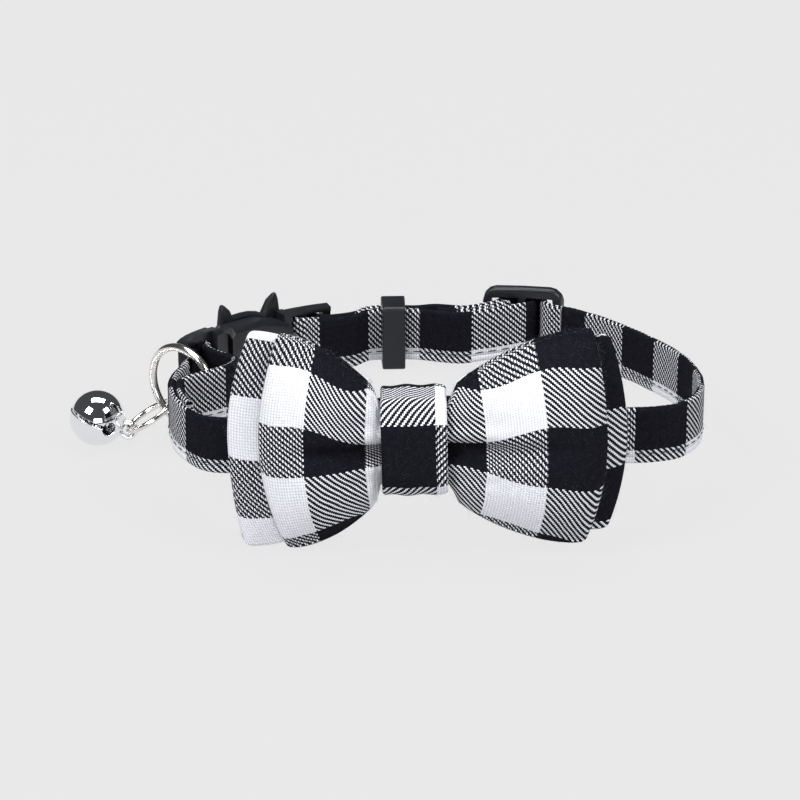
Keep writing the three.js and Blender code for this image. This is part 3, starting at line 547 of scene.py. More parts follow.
@dataclass
class Course:
    """The closed line that the strap's lower edge follows round the neck, and places beside it."""

    width: float = 88.0
    depth: float = 62.4
    strap_width: float = 10.0
    back_height: float = 1.1
    rise: float = 10.0
    across: tuple = (-0.09, -0.455, -0.75, -0.884, -0.954, -0.989, -0.993, -0.97, -0.842, -0.624, -0.418, -0.182,
                     0.091, 0.216, 0.364, 0.507, 0.655, 0.817, 0.944, 0.992, 0.98, 0.898, 0.75, 0.5, 0.205)
    along: tuple = (-1.1, -1.105, -1.1, -1.02, -0.79, -0.519, -0.215, 0.058, 0.375, 0.74, 0.93, 0.98,
                    0.98, 0.965, 0.92, 0.85, 0.68, 0.365, -0.02, -0.38, -0.7, -0.92, -1.025, -1.075, -1.095)
    climb: tuple = (1.0, 0.86, 0.69, 0.65, 0.62, 0.59, 0.5, 0.4, 0.26, 0.085, 0.01, 0.0,
                    0.01, 0.09, 0.13, 0.16, 0.19, 0.27, 0.4, 0.53, 0.64, 0.7, 0.75, 0.84, 0.95)
    line: Points = field(init=False)
    tangent: Points = field(init=False)
    runs: Points = field(init=False)
    length: float = field(init=False)
    shift: Points = field(init=False)

    def __post_init__(self) -> None:
        """Samples the line."""
        self.sample()

    def sample(self) -> None:
        """Samples the line finely, and takes its shift back."""
        knots = np.column_stack([
            np.array(self.across) * self.width / 2,
            np.array(self.along) * self.depth / 2,
            self.back_height + np.array(self.climb) * self.rise,
        ])
        samples, almost = 4800, 0.9999999
        self.line = curve_through(knots, True, np.linspace(0, 1, samples + 1)[:-1] * almost)
        steps = np.linalg.norm(np.roll(self.line, -1, axis=0) - self.line, axis=1)
        self.length = float(steps.sum())
        self.runs = np.concatenate([[0.0], np.cumsum(steps)[:-1]])
        ways = np.roll(self.line, -1, axis=0) - np.roll(self.line, 1, axis=0)
        ways[:, 2] = 0
        self.tangent = ways / np.linalg.norm(ways, axis=1)[:, None]
        self.shift = np.zeros(3)

    def place(self, run: Points, out: Points, height: Points) -> Points:
        """Points beside the line.

        Args:
            run: lengths along it from the knot.
            out: distances out of the loop.
            height: heights over the strap's middle.

        Returns:
            Points in millimetres.
        """
        run = np.mod(np.asarray(run, float), self.length)
        at, way = (rows_at(run, self.runs, rows, self.length) for rows in (self.line, self.tangent))
        way /= np.linalg.norm(way, axis=1)[:, None]
        at[:, 0] -= way[:, 1] * out
        at[:, 1] += way[:, 0] * out
        at[:, 2] += self.strap_width / 2 + height
        return at + self.shift


def round_bar(bar: float, out: float, radius: float, face: float, turn: float) -> list:
    """Half a turn of strap round a bar.

    Args:
        bar: the bar's run.
        out: the bar's distance out.
        radius: of the strap's middle.
        face: +1 where it starts outside.
        turn: +1 where it passes beyond the bar.

    Returns:
        Pairs of run and distance out.
    """
    return [(bar + turn * radius * sin, out + face * radius * cos) for cos, sin in HALF_TURN]


def cross_over(start: float, end: float, out: float, radii: tuple, face: float) -> list:
    """The straight way from one face of a bar to the other face of the next.

    Args:
        start: the first bar's run.
        end: the next bar's run.
        out: their distance out.
        radii: how far the strap's middle keeps from each.
        face: +1 where it leaves from outside.

    Returns:
        Two pairs of run and distance out.
    """
    way = math.copysign(1.0, end - start)
    lean = math.asin(sum(radii) / abs(end - start))
    near, far = radii
    return [
        (start + way * near * math.sin(lean), out + face * near * math.cos(lean)),
        (end - way * far * math.sin(lean), out - face * far * math.cos(lean)),
    ]


@dataclass
class Strap:
    """The ribbon: two rounded edges, a lapped seam along its lower edge, and its stitches."""

    course: Course
    width: float = 10.0
    thickness: float = 1.2
    layer_gap: float = 0.25
    clearance: float = 0.3
    frame_bar: float = 1.6
    plug_pitch: float = 5.6
    socket_pitch: float = 4.9
    buckle_length: float = 38.2
    buckle_start: float = 0.266
    keeper_at: float = 0.4625
    keeper_width: float = 4.2
    slider_at: float = 0.5515
    slider_length: float = 13.9
    slider_bar: float = 1.5
    slider_thickness: float = 1.9
    slider_level: float = 2.0
    slider_fold_tail: float = 9.0
    fold_tail: float = 27.0
    sewn_overlap: float = 10.0
    ring_slack: float = 9.4
    ring_at: float = -3.8
    seam_height: float = -3.6
    seam_step: float = 0.16
    step: float = 0.55
    mirror: float = 17.7
    left_shift: float = 2.2
    ply_shift: float = 8.2

    def route(self) -> Points:
        """The strap's way through the hardware. Returns: pairs of run and distance out."""
        loop = self.course.length
        pitch = self.thickness + self.layer_gap
        layer = pitch / 2
        half_bar = self.frame_bar / 2
        off_bar = math.hypot(half_bar, half_bar) + self.clearance / 2 + self.thickness / 2
        off_slider = (
            math.hypot(self.slider_bar, self.slider_thickness) / 2 + self.clearance * 0.7 + self.thickness / 2
        )
        level = self.slider_level
        slider = self.slider_at * loop
        end_bar = self.slider_length / 2 - self.slider_bar / 2
        left, right = slider - end_bar, slider + end_bar
        fold_end = left - self.slider_fold_tail
        keeper = self.keeper_at * loop
        plug = self.buckle_start * loop
        plug_wrap = plug + self.plug_pitch
        socket = plug + self.buckle_length
        socket_wrap = socket - self.socket_pitch
        ring_run = plug + self.ring_at
        sewn_from = plug - self.fold_tail
        sewn_to = sewn_from + self.sewn_overlap
        outer_turn = off_slider + pitch
        under_fold = off_slider + 2 * pitch
        lean = math.asin((under_fold - off_slider) / end_bar)
        spots = [
            (fold_end, 0), (left - 4, level - outer_turn), (left, level - outer_turn),
            *cross_over(left, slider, level, (outer_turn, off_slider), -1),
            *round_bar(slider, level, off_slider, 1, 1)[:-1],
            (left + under_fold * math.sin(lean), level - under_fold * math.cos(lean)),
            (left, level - under_fold), (left - 4, level - under_fold), (fold_end, -pitch),
            (keeper + self.keeper_width, -layer), (keeper - self.keeper_width, -layer),
            (socket + 5, -off_bar - pitch + 0.4), (socket, -off_bar - pitch),
            *round_bar(socket_wrap, 0, off_bar, -1, -1),
            *cross_over(socket_wrap, socket, 0, (off_bar, off_bar), 1),
            (socket, -off_bar), (socket + 5, -off_bar + 0.4),
            (keeper - self.keeper_width, layer), (keeper + self.keeper_width, layer),
            (fold_end, pitch), (left - 4, level - off_slider + 0.1), (left, level - off_slider),
            *cross_over(left, slider, level, (off_slider, outer_turn), -1),
            (slider, level + outer_turn),
            *cross_over(slider, right, level, (outer_turn, off_slider), 1),
            (right, level - off_slider), (right + 4, 0),
            (loop - self.course.depth / 2, 0), (loop, 0), (loop + self.course.depth * 0.4, 0),
            (loop + sewn_from - 3, 0),
            (loop + sewn_from + 1, layer), (loop + sewn_to, layer), (loop + ring_run - 4, -1.2),
            (loop + plug, -off_bar),
            *cross_over(loop + plug, loop + plug_wrap, 0, (off_bar, off_bar), -1),
            *round_bar(loop + plug_wrap, 0, off_bar, 1, 1),
            (loop + plug + 1, -self.ring_slack * 0.75), (loop + ring_run - 1, -self.ring_slack),
            (loop + ring_run - 6, -self.ring_slack * 0.8),
            (loop + sewn_to, -layer), (loop + sewn_from, -layer),
        ]
        return np.array(spots, float)

    def centre_line(self) -> tuple[Points, Points, Points]:
        """The ribbon's middle line. Returns: its points, the length of cloth and the run at each."""
        route = self.route()
        shares = []
        for i in range(len(route) - 1):
            count = max(3, math.ceil(np.linalg.norm(route[i + 1] - route[i]) / self.step))
            shares.extend((i + np.arange(count) / count) / (len(route) - 1))
        shares.append(1.0)
        flat = curve_through(route, False, np.array(shares))
        flat[:, 1] += 0.07 * np.sin(flat[:, 0] * 0.9) * np.sin(flat[:, 0] * 0.23)
        line = self.course.place(flat[:, 0], flat[:, 1], np.zeros(len(flat)))
        lengths = np.concatenate([[0.0], np.cumsum(np.linalg.norm(np.diff(line, axis=0), axis=1))])
        return line, lengths, flat[:, 0]

    def section(self) -> Points:
        """The ribbon's section: round edges and a lap seam. Returns: pairs of distance out and height."""
        half, tall, seam, lap = self.thickness / 2, self.width / 2, self.seam_height, 0.12
        levels = (2.5, 0.5, -1.5, -3.0)
        outline = [(half * cos, tall - half + half * sin) for cos, sin in HALF_TURN]
        outline += [(-half, up) for up in levels]
        outline += [(-half, seam + lap), (-half + self.seam_step, seam), (-half, seam - lap)]
        outline += [(-half * cos, -tall + half - half * sin) for cos, sin in HALF_TURN]
        outline += [(half, seam - lap), (half - self.seam_step, seam), (half, seam + lap)]
        outline += [(half, up) for up in levels[::-1]]
        return np.array(outline)

    def build(self, cloth: Finish, thread: Finish) -> Piece:
        """Makes the ribbon and its seam stitches. Args: cloth and thread, their finishes. Returns: the ribbon."""
        line, lengths, runs = self.centre_line()
        way = np.vstack([line[1:], line[-1:]]) - np.vstack([line[:1], line[:-1]])
        side = np.column_stack([-way[:, 1], way[:, 0], np.zeros(len(way))])
        side /= np.linalg.norm(side, axis=1)[:, None]
        section = self.section()
        points = line[:, None, :] + side[:, None, :] * section[None, :, :1]
        points[:, :, 2] += section[None, :, 1]
        loop = self.course.length
        past_slider = self.slider_at * loop + self.slider_length / 2 + 1
        outer_cloth = lengths + np.where(runs > loop + 3, self.left_shift, 0.0)
        inner_cloth = lengths + np.where(runs > past_slider, self.ply_shift, 0.0)
        uv = self.cloth_places(outer_cloth, inner_cloth, section)
        faces = capped_tube(0, len(line), len(section))
        ribbon = smooth_mesh("collar_ribbon", points.reshape(-1, 3), faces, uv)
        dress(ribbon, cloth, "cloth", "collar_strap")
        self.stitches(line, side, lengths, thread)
        return ribbon

    def cloth_places(self, outer_cloth: Points, inner_cloth: Points, section: Points) -> Points:
        """Cloth coordinates for the ribbon's face corners, mirrored on one face so that the twill reads alike.

        Args:
            outer_cloth: the place along the outer ply at each ring of points.
            inner_cloth: the same on the inner ply, which is cut at another band.
            section: the ribbon's section.

        Returns:
            A coordinate for each corner of each face, with the two end caps last.
        """
        count = len(section)
        after = (np.arange(count) + 1) % count
        outer = (section[:, 0] + section[after, 0]) > 0
        corners = np.empty((len(outer_cloth) - 1, count, 4, 2))
        for k, part in enumerate((slice(0, -1), slice(0, -1), slice(1, None), slice(1, None))):
            over, under = self.mirror - outer_cloth[part, None], inner_cloth[part, None]
            corners[:, :, k, 0] = np.where(outer[None, :], over, under)
        for k, up in enumerate((section[:, 1], section[after, 1], section[after, 1], section[:, 1])):
            corners[:, :, k, 1] = up[None, :]
        caps = [np.column_stack([np.full(count, inner_cloth[end]), section[:, 1]]) for end in (0, -1)]
        return np.vstack([corners.reshape(-1, 2), caps[0], caps[1][::-1]])

    def stitches(self, line: Points, side: Points, lengths: Points, thread: Finish) -> None:
        """Makes the row of stitches along the seam, on both faces.

        Args:
            line: the ribbon's middle line.
            side: its direction out, at each point.
            lengths: the length of cloth at each point.
            thread: their finish.
        """
        spacing, long, radius, above_seam = 2.3, 1.7, 0.11, 0.5
        sink, arch, rings, sides = 0.06, 0.1, 7, 6
        shares = np.linspace(0, 1, rings)
        points, faces = [], []
        for face in (1, -1):
            for start in np.arange(1.0, lengths[-1] - spacing, spacing):
                spots = start + shares * long
                away = rows_at(spots, lengths, side)
                lift = self.thickness / 2 - sink + arch * np.sin(np.pi * shares)
                middle = rows_at(spots, lengths, line) + away * (face * lift)[:, None]
                middle[:, 2] += self.seam_height + above_seam
                faces += capped_tube(len(points), rings, sides)
                for i, share in enumerate(shares):
                    size = radius * math.sqrt(max(0.05, 1 - (2 * share - 1) ** 4))
                    for turn in range(sides):
                        angle = 2 * math.pi * turn / sides
                        points.append(middle[i] + away[i] * size * math.cos(angle) + [0, 0, size * math.sin(angle)])
        dress(smooth_mesh("seam_stitches", np.array(points), faces), thread, "cloth")


class Layer(Enum):
    """The two loops of the bow."""

    BACK = "bow_back"
    FRONT = "bow_front"


@dataclass
class Loop:
    """Sizes of one loop of the bow."""

    layer: Layer
    left: float
    right: float
    half_left: float
    half_right: float
    wing_puff: float
    knot_puff: float
    drop: float
    gathered: float
    left_corners: tuple
    right_corners: tuple


@dataclass
class Bow:
    """Two flattened loops gathered by a band, in a frame of their own at the strap's middle under the knot."""

    course: Course
    height: float = 36.0
    lean: float = 6.0
    roll: float = 1.3
    ply: float = 1.05
    knot_ply: float = 1.1
    knot_width: float = 10.6
    knot_height: float = 16.0
    knot_drop: float = 1.6
    wing_root: float = 8.4
    knot_front_round: float = 3.4
    knot_back_round: float = 1.4
    crease_depth: float = 3.3
    crease_width: float = 1.6
    tip_corner: float = 1.6
    sweep: float = 1.7
    knot_margin: float = 0.45
    gather_margin: float = 0.2
    strap_half: float = 0.6
    strap_reach: float = 5.5
    clearance: float = 0.3
    side_folds: tuple = ((0.55, 4.4, 2.4, 1.1), (0.5, -4.1, -3.0, 1.2))
    front_edges: tuple = ((-16.4, -4.3, 4.6, 14.2), (-17.0, -6.4, 4.8, 14.5))
    back_edges: tuple = ((-13.2, -2.7, 8.2, 17.7), (-16.8, -6.0, 5.2, 19.0))
    knot_edges: tuple = (-12.0, -2.2, 1.0, 10.2)
    left_rise: float = 0.8
    right_drop: float = 1.7
    right_shift: float = 7.0
    columns: int = 46
    rows: int = 60

    def __post_init__(self) -> None:
        """Works out the loops' sizes."""
        half = self.height / 2
        gathered = self.knot_height / 2 - self.knot_ply - self.clearance - self.gather_margin
        self.back = Loop(
            Layer.BACK, left=30.0, right=34.2, half_left=half * 1.01, half_right=half * 0.915, wing_puff=2.8,
            knot_puff=0.3, drop=0.5, gathered=gathered * 0.88, left_corners=(1.7, 3.5), right_corners=(2.6, 2.2)
        )
        self.front = Loop(
            Layer.FRONT, left=24.8, right=30.8, half_left=half, half_right=half, wing_puff=4.6,
            knot_puff=3.0, drop=0.0, gathered=gathered, left_corners=(3.3, 3.0), right_corners=(2.9, 1.7)
        )
        self.half_knot = self.knot_width / 2
        self.knot_edge = self.half_knot + self.knot_margin
        self.strap_face = self.strap_half + self.strap_reach * math.tan(math.radians(self.lean))

    def to_part(self, points: Points) -> Points:
        """Moves points from the bow's frame to the part's. Args: points. Returns: the moved points."""
        turn = Matrix.Rotation(-math.radians(self.lean), 3, "X") @ Matrix.Rotation(-math.radians(self.roll), 3, "Y")
        origin = self.course.place(np.zeros(1), np.zeros(1), np.zeros(1))[0]
        return points @ np.array(turn).T + origin

    def reach(self, loop: Loop, x: Points) -> Points:
        """A wing's reach. Args: loop; x, places. Returns: the reach on each place's side."""
        return np.where(x < 0, loop.left, loop.right)

    def out_of_knot(self, loop: Loop, x: Points) -> Points:
        """How far out of the knot. Args: loop; x. Returns: 0 at the knot's edge to 1 at the wing's end."""
        return np.clip((np.abs(x) - self.knot_edge) / (self.reach(loop, x) - self.knot_edge), 0, 1)

    def half_height(self, loop: Loop, x: Points) -> Points:
        """A wing's half height. Args: loop; x. Returns: half heights."""
        out = self.out_of_knot(loop, x)
        tip = np.where(x < 0, loop.half_left, loop.half_right)
        flare = np.sin(math.pi / 2 * out**0.8)
        over = np.clip(np.abs(x) - (self.reach(loop, x) - self.tip_corner), 0, self.tip_corner)
        corner = self.tip_corner - np.sqrt(self.tip_corner**2 - over**2)
        root = loop.gathered + (self.wing_root - loop.gathered) * smoothstep(out, 0.0, 0.05)
        return root + (tip - root) * flare - corner

    def puff(self, loop: Loop, x: Points, high: Points) -> Points:
        """The hollow between a loop's walls. Args: loop; x; high, share of the half height. Returns: depths."""
        share = np.minimum(1, np.abs(x) / self.reach(loop, x))
        rise = np.sin(math.pi * np.minimum(0.5, 1.1 * self.out_of_knot(loop, x)))
        filled = loop.knot_puff + (loop.wing_puff - loop.knot_puff) * rise
        return filled * (1 - 0.8 * np.minimum(1, high) ** 3) * np.sqrt(1 - 0.9 * share**8)

    def back_of(self, loop: Loop, x: Points, high: Points) -> Points:
        """Distance forward of the strap's middle to a loop's back. Args: loop; x; high. Returns: distances."""
        behind = self.strap_face + self.clearance + self.sweep * np.minimum(1, np.abs(x) / self.back.left) ** 1.5
        if loop.layer is Layer.BACK:
            return behind
        return behind + 2 * self.ply + self.puff(self.back, x, high) + self.clearance

    def crease(self, loop: Loop, x: Points, z: Points) -> Points:
        """The folds that run out of the knot. Args: loop; x; z, over the wing's middle. Returns: depths."""
        if loop.layer is Layer.BACK:
            return np.zeros_like(x)
        out = self.out_of_knot(loop, x)
        run = 1 - smoothstep(out, 0.1, 0.95)
        depth = np.minimum(self.crease_depth, 0.8 * self.puff(loop, x, np.zeros_like(x)))
        folds = depth * run * np.exp(-((z / self.crease_width) ** 2))
        near = 1 - smoothstep(out, 0.0, 0.55)
        for deep, start, climb, width in self.side_folds:
            folds = folds + deep * near * np.exp(-(((z - start - climb * out) / width) ** 2))
        return folds

    def loop_points(self, loop: Loop) -> tuple[Points, list, Points]:
        """A loop's walls, with rolled rims. Args: loop. Returns: points, faces and cloth coordinates."""
        inner, fine = 0.9, 14
        rim = 1 - (1 - inner) * (1 - np.linspace(0, 1, fine + 1)[1:]) ** 2
        share = np.concatenate([np.linspace(0, inner, self.columns - fine), rim])
        front = [(-1, value) for value in share[:0:-1]] + [(1, value) for value in share]
        ring = np.array([(*spot, 1) for spot in front] + [(*spot, 0) for spot in front[::-1][1:-1]], float)
        side, share, face = ring.T
        reach = self.reach(loop, side)
        x = side * share * reach
        high, out = self.half_height(loop, x), self.out_of_knot(loop, x)
        walk = [(row, 0.0, 0.0) for row in np.linspace(-1, 1, self.rows)]
        walk += [(1.0, (1 - cos) / 2, sin) for cos, sin in HALF_TURN[1:-1]]
        walk += [(row, 1.0, 0.0) for row in np.linspace(1, -1, self.rows // 2)]
        walk += [(-1.0, (1 + cos) / 2, sin) for cos, sin in HALF_TURN[1:-1]]
        roll, least = self.ply * 0.45, 0.06
        nose = np.sqrt(1 - share**10)
        drop = self.knot_drop + (loop.drop - self.knot_drop) * out
        points, uv = [], []
        for row, deep, bulge in walk:
            z = row * (high - roll) + math.copysign(bulge * roll, row)
            level = abs(row)
            levels = np.full_like(x, level)
            full = 2 * self.ply + self.puff(loop, x, levels)
            half = np.maximum(least, (full / 2 - deep * self.ply) * nose)
            slack = 0.16 * np.sin(x * 0.55 + 1.3 * row) * np.sin(row * 5.2 + x * 0.21) * np.minimum(1, out * 3)
            swell = np.where(face > 0, half - self.crease(loop, x, z) + slack * (1 - deep), -half)
            forward = self.back_of(loop, x, levels) + full / 2 + swell
            corners = [pair[0 if row < 0 else 1] for pair in (loop.left_corners, loop.right_corners)]
            shorter = np.where(side < 0, *corners)
            wide = side * share * (reach - shorter * level**2 * share**3 - 1.4 * deep * self.ply)
            points.append(np.column_stack([wide, -forward, z - drop]))
            over = math.copysign(0.0 if level < 1 else deep * 2.0, row)
            uv.append(self.cloth_places(loop, x, wide, z, row) + np.array([0.0, over]))
        return np.vstack(points), tube_faces(len(walk), len(ring), True), np.vstack(uv)

    def cloth_places(self, loop: Loop, x: Points, wide: Points, z: Points, row: float) -> Points:
        """Cloth coordinates of one row of a loop: the gathers pull the check together at the knot.

        Args:
            loop: the loop.
            x: places before the wing's ends are shaped.
            wide: places after it.
            z: heights over the wing's middle.
            row: the row, as a share of the half height.

        Returns:
            A coordinate for each place.
        """
        out = self.out_of_knot(loop, x)
        bend = np.where(x < 0, 0.11 + 0.02 * out, 0.11 - 0.05 * out) * smoothstep(out, 0.0, 0.15)
        along = wide / (1 - bend * row**2)
        flat = row * self.height / 2
        edges = self.back_edges if loop.layer is Layer.BACK else self.front_edges
        bent = loop.layer is Layer.FRONT
        left_rise = self.left_rise * (1 - smoothstep(out, 0.65, 1.0)) * bent
        right_drop = self.right_drop * smoothstep(out, 0.6, 1.0) * bent
        left, right, knot = (
            self.across_edges(loop, spots, height)
            for spots, height in ((edges[0], flat - left_rise), (edges[1], flat + right_drop), (self.knot_edges, z))
        )
        wing = np.where(x < 0, left, right)
        if loop.layer is Layer.BACK:
            return np.column_stack([along + np.where(x > 0, self.right_shift, 0.0), wing])
        return np.column_stack([along, knot + (wing - knot) * smoothstep(out, 0.0, 0.6)])

    def across_edges(self, loop: Loop, spots: tuple, height: Points | float) -> Points:
        """The cloth's place across its bands. Args: loop; spots, four edges' heights; height. Returns: places."""
        start, first = (-2.9, -1) if loop.layer is Layer.BACK else (2.6, -2)
        places = [start + step * BAND for step in range(first - 1, first + 5)]
        return np.interp(height, (spots[0] - BAND, *spots, spots[-1] + BAND), places)

    def band_points(self) -> tuple[Points, list, Points]:
        """The knot's band. Returns: points, faces and cloth coordinates."""
        zero = np.zeros(1)
        reach = float(self.back_of(self.front, zero, zero)[0]) + 2 * self.ply + self.front.knot_puff + self.clearance
        rear = -(self.strap_face + self.clearance)
        half_depth, middle = (reach - rear) / 2, (reach + rear) / 2
        half_height = self.knot_height / 2 - self.knot_ply
        outline = []
        steps = 9
        for forward, up in ((1, 1), (-1, 1), (-1, -1), (1, -1)):
            rounding = self.knot_front_round if forward > 0 else self.knot_back_round
            for i in range(steps + 1):
                turn = (i if forward * up > 0 else steps - i) / steps
                angle = math.pi / 2 * turn
                away = (forward * math.cos(angle), up * math.sin(angle))
                outline.append((middle + forward * (half_depth - rounding) + rounding * away[0],
                                up * (half_height - rounding) + rounding * away[1], *away))
        outline = np.array(outline)
        dense = []
        for i in range(len(outline)):
            a, b = outline[i], outline[(i + 1) % len(outline)]
            count = max(1, int(np.linalg.norm(b[:2] - a[:2]) / 0.5))
            dense += [a + (b - a) * k / count for k in range(count)]
        dense = np.array(dense)
        gaps = np.linalg.norm(np.diff(np.vstack([dense, dense[:1]])[:, :2], axis=0), axis=1)
        around = np.concatenate([[0.0], np.cumsum(gaps)[:-1]])
        front = int(np.argmax(dense[:, 0] - np.abs(dense[:, 1])))
        total = gaps.sum()
        around = around[front] - around
        around = (around + total / 2) % total - total / 2
        walk = [(x, 1 + 0.12 * (1 - x * x)) for x in np.linspace(-0.9, 0.9, 19)]
        walk += [(0.9 + 0.1 * sin, 0.5 + 0.5 * cos) for cos, sin in HALF_TURN[1:]]
        walk += [(x, 0.0) for x in (0.6, 0.2, -0.2, -0.6)]
        walk += [(-0.9 - 0.1 * sin, 0.5 - 0.5 * cos) for cos, sin in HALF_TURN[:-1]]
        points, uv = [], []
        for x, thick in walk:
            wave = 0.13 * math.sin(x * 7.0) * np.cos(dense[:, 1] * 0.5) * (thick > 0.9)
            skin = self.knot_ply * thick + wave
            points.append(np.column_stack([
                np.full(len(dense), x * self.half_knot),
                -(dense[:, 0] + dense[:, 2] * skin),
                dense[:, 1] + dense[:, 3] * skin - self.knot_drop,
            ]))
            uv.append(np.column_stack([np.full(len(dense), x * self.half_knot), around]))
        return np.vstack(points), tube_faces(len(walk), len(dense), True), np.vstack(uv)

    def build(self, finishes: dict) -> dict:
        """Makes both loops and the band. Args: finishes, materials by node name. Returns: the pieces by node name."""
        shapes = {loop.layer.value: self.loop_points(loop) for loop in (self.back, self.front)}
        shapes["bow_knot"] = self.band_points()
        made = {}
        for name, (points, faces, uv) in shapes.items():
            piece = smooth_mesh(name + "_cloth", self.to_part(points), faces, uv)
            made[name] = dress(piece, finishes[name], "cloth", name)
        return made


@dataclass
class Hardware:
    """The moulded pieces: buckle plug and socket, keeper and slider, with their edges broken."""

    edges: tuple = (("buckle_plug", 0.16), ("buckle_socket", 0.16), ("strap_keeper", 0.32), ("slider", 0.26))
    weld: float = 2e-6
    flat_angle: float = 2.0
    sharp_angle: float = 28.0

    def build(self, plastic: Finish) -> None:
        """Makes the pieces. Args: plastic, their finish."""
        for name, edge in self.edges:
            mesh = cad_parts[name].data.copy()
            mesh.name = name + "_moulding"
            shape = bmesh.new()
            shape.from_mesh(mesh)
            bmesh.ops.remove_doubles(shape, verts=shape.verts, dist=self.weld)
            flat = math.radians(self.flat_angle)
            bmesh.ops.dissolve_limit(shape, angle_limit=flat, verts=shape.verts, edges=shape.edges)
            shape.to_mesh(mesh)
            shape.free()
            piece = stand(name + "_moulding", mesh)
            mesh.polygons.foreach_set("use_smooth", [True] * len(mesh.polygons))
            bevel = piece.modifiers.new("broken_edges", "BEVEL")
            bevel.width = edge * MM
            bevel.segments = 3
            bevel.limit_method = "ANGLE"
            bevel.angle_limit = math.radians(self.sharp_angle)
            bevel.harden_normals = True
            dress(piece, plastic, "plastic", name)


def wire_ring(name: str, centre: Points, first: Points, normal: Points, radius: float, wire: float) -> Piece:
    """A round wire ring.

    Args:
        name: the piece's name.
        centre: its middle, in millimetres.
        first: a direction in its plane.
        normal: its axis.
        radius: of the wire's middle line.
        wire: the wire's diameter.

    Returns:
        The piece.
    """
    second = np.cross(normal, first)
    steps, sides = 96, 20
    points = []
    for i in range(steps):
        angle = 2 * math.pi * i / steps
        out = first * math.cos(angle) + second * math.sin(angle)
        for j in range(sides):
            turn = 2 * math.pi * j / sides
            points.append(centre + out * (radius + wire / 2 * math.cos(turn)) + normal * wire / 2 * math.sin(turn))
    return smooth_mesh(name, np.array(points), tube_faces(steps, sides, True))


def ring_of(node: str) -> tuple[Points, Points, Points]:
    """Where a ring-shaped node lies. Args: node, its name. Returns: middle, a way in its plane, axis."""
    spots = np.array([vertex.co[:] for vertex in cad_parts[node].data.vertices]) / MM
    spots = np.unique(spots.round(4), axis=0)
    centre = spots.mean(axis=0)
    ways = np.linalg.svd(spots - centre)[2]
    return centre, ways[0], ways[2]


